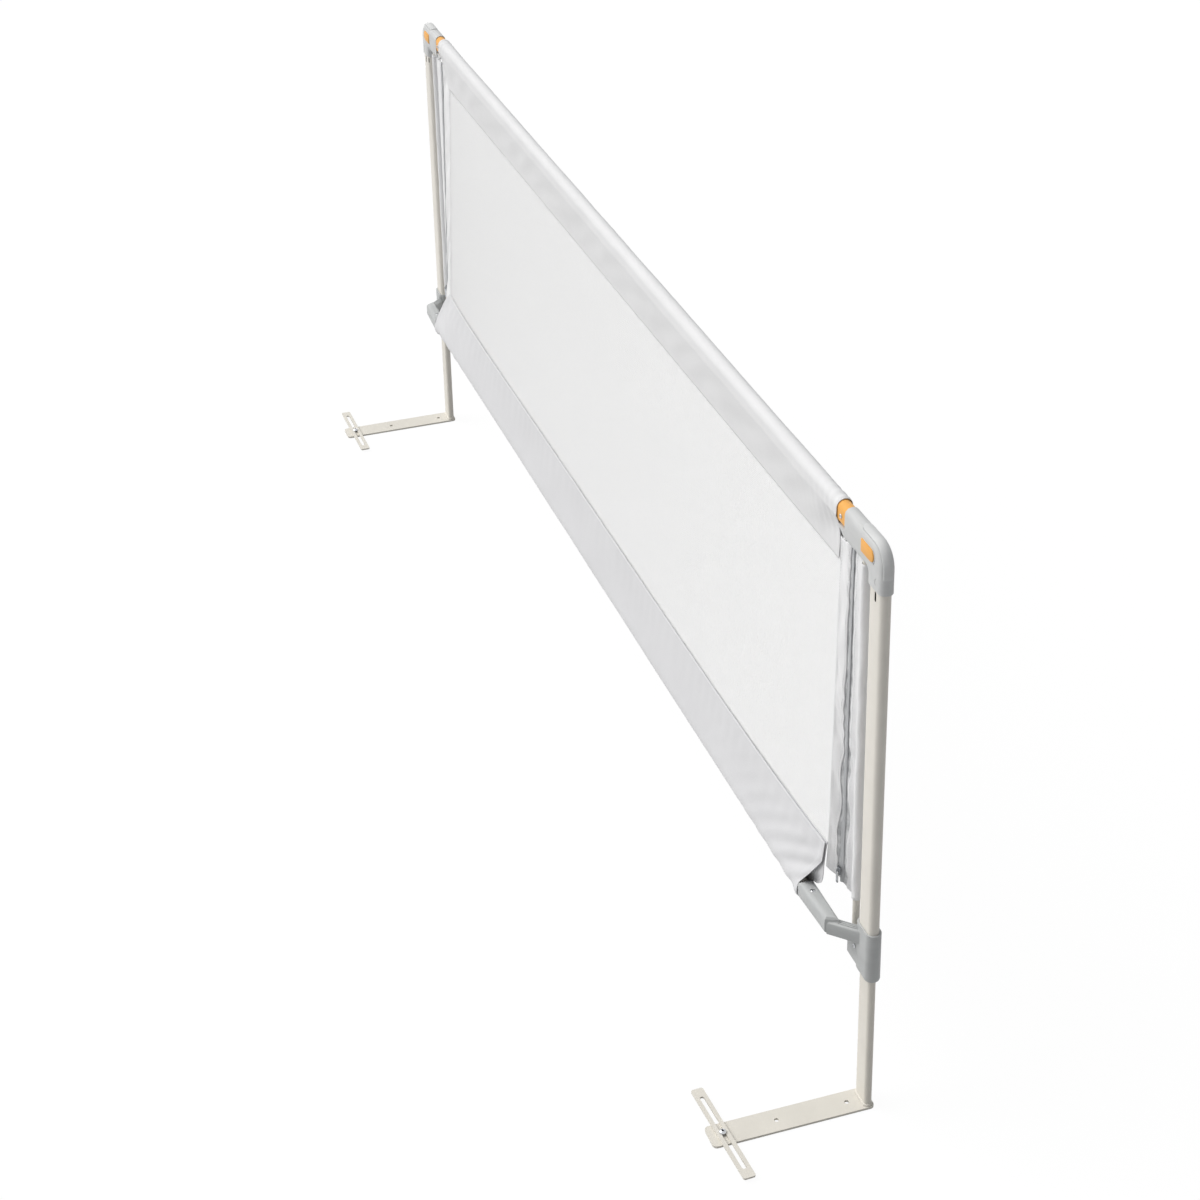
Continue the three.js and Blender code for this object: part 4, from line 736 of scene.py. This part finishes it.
def flap_with_tunnel(word, name):
    """The outer strip runs on round the rod as a tunnel: a strip to its near side, then a full turn whose
    radius waves by a twentieth with height and turn."""
    share, height = strip_grid(name, beside_zip(TAPE_WIDTH / 2 - TAPE_LAP), rod_side, OUTER_COLUMNS)
    turn = np.linspace(np.pi, -np.pi, 41)[1:]
    up = height[:, -1:]
    wave = 1 + 0.045 * np.sin(up * 70 + 2 * np.sin(up * 23) + 2 * turn[None])
    round_x = ROD_X + TUNNEL_RADIUS * wave * np.cos(turn[None])
    round_y = -TUNNEL_RADIUS * wave * np.sin(turn[None])
    tunnel = np.stack([SIDES[name] * (POST_X + round_x), round_y, up + 0 * turn[None]], -1)
    points = np.concatenate([flap_place(name, share, height), tunnel], 1)
    width = flap_width(name, up)
    run = np.concatenate([share * width, width + (np.pi - turn)[None] * TUNNEL_RADIUS], 1)
    uv = np.stack([run, np.concatenate([height, up + 0 * turn[None]], 1)], -1)
    faces = outwards(grid_faces(*points.shape[:2]), name)
    return piece(f"{word}_{name}", points, faces, FLAP_CLOTH, "rail", uv)


def zip_chain(name):
    """The closed coil: a band rounded as an ellipse, whose height pulses with each tooth, as
    0.75 + 0.25 |sin|, with a groove along its middle as a bell curve."""
    across = np.linspace(-1, 1, 9)
    height = np.arange(CHAIN.foot, FLAP_TOP - 1 * MM, CHAIN.step)[:, None]
    pulse = 0.75 + 0.25 * np.abs(np.sin(height / CHAIN.tooth * np.pi))
    share = zip_share(name, height, across[None] * CHAIN.width / 2)
    base = flap_place(name, share, height + 0 * share)
    crown = CHAIN.crown * np.sqrt(np.clip(1 - across ** 2, 0, 1))[None] * pulse
    crown -= CHAIN.groove * np.exp(-(across / 0.16) ** 2)[None]
    front, back = base.copy(), base.copy()
    front[..., 1] -= CHAIN.front + crown
    back[..., 1] -= CHAIN.back
    rings = np.concatenate([front, back[:, ::-1]], 1)[None]
    if SIDES[name] < 0:
        rings = rings[:, :, ::-1]
    return swept(f"zip_chain_{name}", rings, CHAIN_COIL, "rail")


def bail(name):
    """The bail over the slider's plate that carries the pull: a bent bar along half an ellipse."""
    low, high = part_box(f"zip_slider_{name}")
    x, front, z = (low.x + high.x) / 2 - RAIL_X, low.y - RAIL_Y, (low.z + high.z) / 2
    turn = np.linspace(0, np.pi, 13)[:, None]
    ring = np.linspace(0, 2 * np.pi, 9)[:-1][None]
    thick, tall, reach = 0.45 * MM, 3.6 * MM, 2.4 * MM
    swell = 1 + thick / reach * np.cos(ring)
    places = (x - 2 * thick * np.sin(ring) + 0 * turn, front + thick - reach * np.sin(turn) * swell,
              z + tall * np.cos(turn) * swell)
    rings = np.stack(places, -1)[None]
    return swept(f"slider_bail_{name}", rings, SLIDER_METAL, f"zip_slider_{name}")


def flaps():
    for name in SIDES:
        inner_end = beside_zip(TAPE_LAP - TAPE_WIDTH / 2)
        tape_start, tape_end = beside_zip(-TAPE_WIDTH / 2), beside_zip(TAPE_WIDTH / 2)
        inner = flap_strip("flap_inner_cloth", name, net_side, inner_end, INNER_COLUMNS, FLAP_CLOTH)
        tape = flap_strip("zip_tape_cloth", name, tape_start, tape_end, TAPE_COLUMNS, TAPE_CLOTH, -CLOTH)
        outer = flap_with_tunnel("flap_outer_cloth", name)
        thickened(tape, TAPE_THICK, 0)
        chain = zip_chain(name)
        bail(name)
        for made, node, slot in ((inner, "flap_inner", "grey_cloth"), (tape, "zip_tape", "grey_tape"),
                                 (outer, "flap_outer", "grey_cloth"), (chain, "zip_tape", "grey_tape")):
            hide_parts(f"{node}_{name}")
        thickened(inner, CLOTH, 0)
        thickened(outer, CLOTH, 0)


# Stitching

def stitches(name, line, out):
    """Spindle stitches centred on line points (n, 3): five rings along the line's own direction, whose
    radius follows cos ** 0.6, lifted along out."""
    along = np.gradient(line, axis=0)
    along /= np.linalg.norm(along, axis=1)[:, None]
    out = np.broadcast_to(out, line.shape)
    cross = np.cross(along, out)
    step = np.linspace(-1, 1, 5)
    swell = 0.15 + 0.85 * np.cos(step * np.pi / 2) ** 0.6
    turn = np.linspace(0, 2 * np.pi, 7)[:-1]
    lift = STITCH.thick * (0.35 * swell - 0.1)
    centre = line[:, None] + step[:, None] * along[:, None] * STITCH.long / 2 + lift[:, None] * out[:, None]
    ring = np.cos(turn)[:, None] * out[:, None, None] + np.sin(turn)[:, None] * cross[:, None, None]
    rings = centre[:, :, None] + ring * (STITCH.thick / 2 * swell)[:, None, None]
    return swept(name, rings, STITCH_THREAD, "rail")


def seam_stitching():
    """A row on each layer of each sleeve, just above its seam to the net."""
    for word, cloth in CLOTHS.items():
        reach = POST_X - cloth.sleeve.end
        share = np.arange(-reach + STITCH.seam, reach - STITCH.seam, STITCH.seam) / reach
        for layer, way in (("front", -1), ("back", 1)):
            around = -way * cloth.sleeve.front * (1 - STITCH.inset / (cloth.girth / 2))
            points, _ = cloth.place(share, np.array([around]))
            stitches(f"{word}_seam_{layer}_stitches", points[:, 0], (0, way, 0))


def by_net(name, height):
    return STITCH.from_net / flap_width(name, height)


def by_tunnel(name, height):
    return 1 - STITCH.aside / flap_width(name, height)


def flap_stitching():
    """Upright rows at the net's edge, on both sides of the tape and beside the tunnel of each flap."""
    beside_tape = TAPE_WIDTH / 2 + STITCH.aside
    lines = (("net_edge", by_net), ("tape_inner", beside_zip(-beside_tape)),
             ("tape_outer", beside_zip(beside_tape)), ("tunnel", by_tunnel))
    for name in SIDES:
        for word, share_at in lines:
            foot = FLAP_LOW_INNER + (FLAP_LOW - FLAP_LOW_INNER) * share_at(name, FLAP_LOW_INNER)
            height = np.arange(foot + STITCH.from_foot, FLAP_TOP - STITCH.from_top, STITCH.flap)
            line = flap_place(name, share_at(name, height), height, CLOTH / 2)
            stitches(f"{word}_stitches_{name}", line, (0, -1, 0))


screws()
sleeves()
net()
flaps()
seam_stitching()
flap_stitching()


# Studio

# The photograph's camera, fitted to the model: focal length in the photograph's pixels, the shift as a share
# of the frame, the turn from the model's axes to the picture's (right, down, into it) as an axis times an
# angle, and its rail place
FOCAL_PIXELS, FRAME_PIXELS, SENSOR, SHIFT = 2427.94, 1200, 36.0, -0.20
CAMERA_TURN = np.array([1.724028, 1.2304, -0.796859])
CAMERA_PLACE = np.array([3.06912, -0.98200, 2.12328])

# The room's strength towards the far end and the near one, the key light's strength, width and way, and the
# floor's own shade from dark to pale, the glow over it and how much of the floor the glow covers
ROOM_FAR, ROOM_NEAR = 0.68, 0.24
KEY_STRENGTH, KEY_WIDTH, KEY_WAY = 2.5, np.radians(50), (-0.45, -0.66, 0.80)
FLOOR_DARK, FLOOR_PALE, GLOW, GLOW_SHARE = 0.50, 0.52, 1.06, 0.90


def camera_by_photo():
    """A 73 mm lens from above the rail's right front, shifted down. The turn's matrix is
    1 + sin(a) K + (1 - cos(a)) K K, with K the cross product's matrix of its axis."""
    data = bpy.data.cameras.new("camera")
    data.sensor_width, data.lens, data.shift_y = SENSOR, FOCAL_PIXELS / FRAME_PIXELS * SENSOR, SHIFT
    data.clip_start, data.clip_end = 0.05, 60
    made = bpy.data.objects.new("camera", data)
    angle = np.linalg.norm(CAMERA_TURN)
    a = CAMERA_TURN / angle
    cross = np.array([[0, -a[2], a[1]], [a[2], 0, -a[0]], [-a[1], a[0], 0]])
    right, down, into = np.eye(3) + np.sin(angle) * cross + (1 - np.cos(angle)) * cross @ cross
    matrix = np.eye(4)
    matrix[:3] = np.stack([right, -down, -into, CAMERA_PLACE + (RAIL_X, RAIL_Y, 0)], 1)
    made.matrix_world = Matrix(matrix.tolist())
    bpy.context.scene.collection.objects.link(made)
    bpy.context.scene.camera = made


def seen_or_mirrored(tree):
    """1 for camera, glossy and transmission rays, else 0."""
    path = tree.nodes.new("ShaderNodeLightPath")
    first = tree.nodes.new("ShaderNodeMath")
    second = tree.nodes.new("ShaderNodeMath")
    first.operation = second.operation = "MAXIMUM"
    tree.links.new(path.outputs["Is Camera Ray"], first.inputs[0])
    tree.links.new(path.outputs["Is Glossy Ray"], first.inputs[1])
    tree.links.new(first.outputs[0], second.inputs[0])
    tree.links.new(path.outputs["Is Transmission Ray"], second.inputs[1])
    return second.outputs[0]


def soft_room():
    """A room that dims evenly from the far end to the near one, white where the camera or a mirror looks."""
    world = bpy.data.worlds.new("soft_room")
    bpy.context.scene.world = world
    world.use_nodes = True
    tree = world.node_tree
    room = tree.nodes["Background"]
    room.inputs["Color"].default_value = (0.98, 0.99, 1.0, 1)
    sky = tree.nodes.new("ShaderNodeTexCoord")
    way = tree.nodes.new("ShaderNodeSeparateXYZ")
    dim = tree.nodes.new("ShaderNodeMapRange")
    dim.inputs["From Min"].default_value, dim.inputs["From Max"].default_value = -1.0, 1.0
    dim.inputs["To Min"].default_value, dim.inputs["To Max"].default_value = ROOM_FAR, ROOM_NEAR
    tree.links.new(sky.outputs["Generated"], way.inputs[0])
    tree.links.new(way.outputs["X"], dim.inputs["Value"])
    tree.links.new(dim.outputs["Result"], room.inputs["Strength"])
    white = tree.nodes.new("ShaderNodeBackground")
    white.inputs["Color"].default_value, white.inputs["Strength"].default_value = (1, 1, 1, 1), 1.0
    mix = tree.nodes.new("ShaderNodeMixShader")
    tree.links.new(seen_or_mirrored(tree), mix.inputs[0])
    tree.links.new(room.outputs[0], mix.inputs[1])
    tree.links.new(white.outputs[0], mix.inputs[2])
    tree.links.new(mix.outputs[0], tree.nodes["World Output"].inputs["Surface"])


def key_light():
    """One wide soft light from above the mattress side, left of the camera."""
    key = bpy.data.lights.new("key", "SUN")
    key.energy, key.angle, key.color = KEY_STRENGTH, KEY_WIDTH, (1.0, 0.99, 0.975)
    lamp = bpy.data.objects.new("key", key)
    lamp.rotation_mode = "QUATERNION"
    lamp.rotation_quaternion = Vector(KEY_WAY).to_track_quat("Z", "Y")
    bpy.context.scene.collection.objects.link(lamp)


def pale_floor():
    """A large floor whose own shade takes the soft shadow, seen through most of a white glow."""
    size, drop = 40.0, 0.4 * MM
    mesh = bpy.data.meshes.new("floor")
    corners = [(-size, -size, -drop), (size, -size, -drop), (size, size, -drop), (-size, size, -drop)]
    mesh.from_pydata(corners, [], [(0, 1, 2, 3)])
    material = bpy.data.materials.new("pale_floor")
    material.use_nodes = True
    tree = material.node_tree
    plain = tree.nodes["Principled BSDF"]
    plain.inputs["Roughness"].default_value = 0.9
    grain = tree.nodes.new("ShaderNodeTexNoise")
    grain.inputs["Scale"].default_value = 3.0
    ramp = tree.nodes.new("ShaderNodeMapRange")
    ramp.inputs["To Min"].default_value, ramp.inputs["To Max"].default_value = FLOOR_DARK, FLOOR_PALE
    tree.links.new(grain.outputs["Fac"], ramp.inputs["Value"])
    tree.links.new(ramp.outputs["Result"], plain.inputs["Base Color"])
    glow = tree.nodes.new("ShaderNodeEmission")
    glow.inputs["Strength"].default_value = GLOW
    share = tree.nodes.new("ShaderNodeMath")
    share.operation = "MULTIPLY"
    share.inputs[1].default_value = GLOW_SHARE
    tree.links.new(seen_or_mirrored(tree), share.inputs[0])
    mix = tree.nodes.new("ShaderNodeMixShader")
    tree.links.new(share.outputs[0], mix.inputs[0])
    tree.links.new(plain.outputs[0], mix.inputs[1])
    tree.links.new(glow.outputs[0], mix.inputs[2])
    tree.links.new(mix.outputs[0], tree.nodes["Material Output"].inputs["Surface"])
    mesh.materials.append(material)
    floor = bpy.data.objects.new("floor", mesh)
    bpy.context.scene.collection.objects.link(floor)


camera_by_photo()
soft_room()
key_light()
pale_floor()
bpy.context.scene.view_settings.view_transform = "Standard"
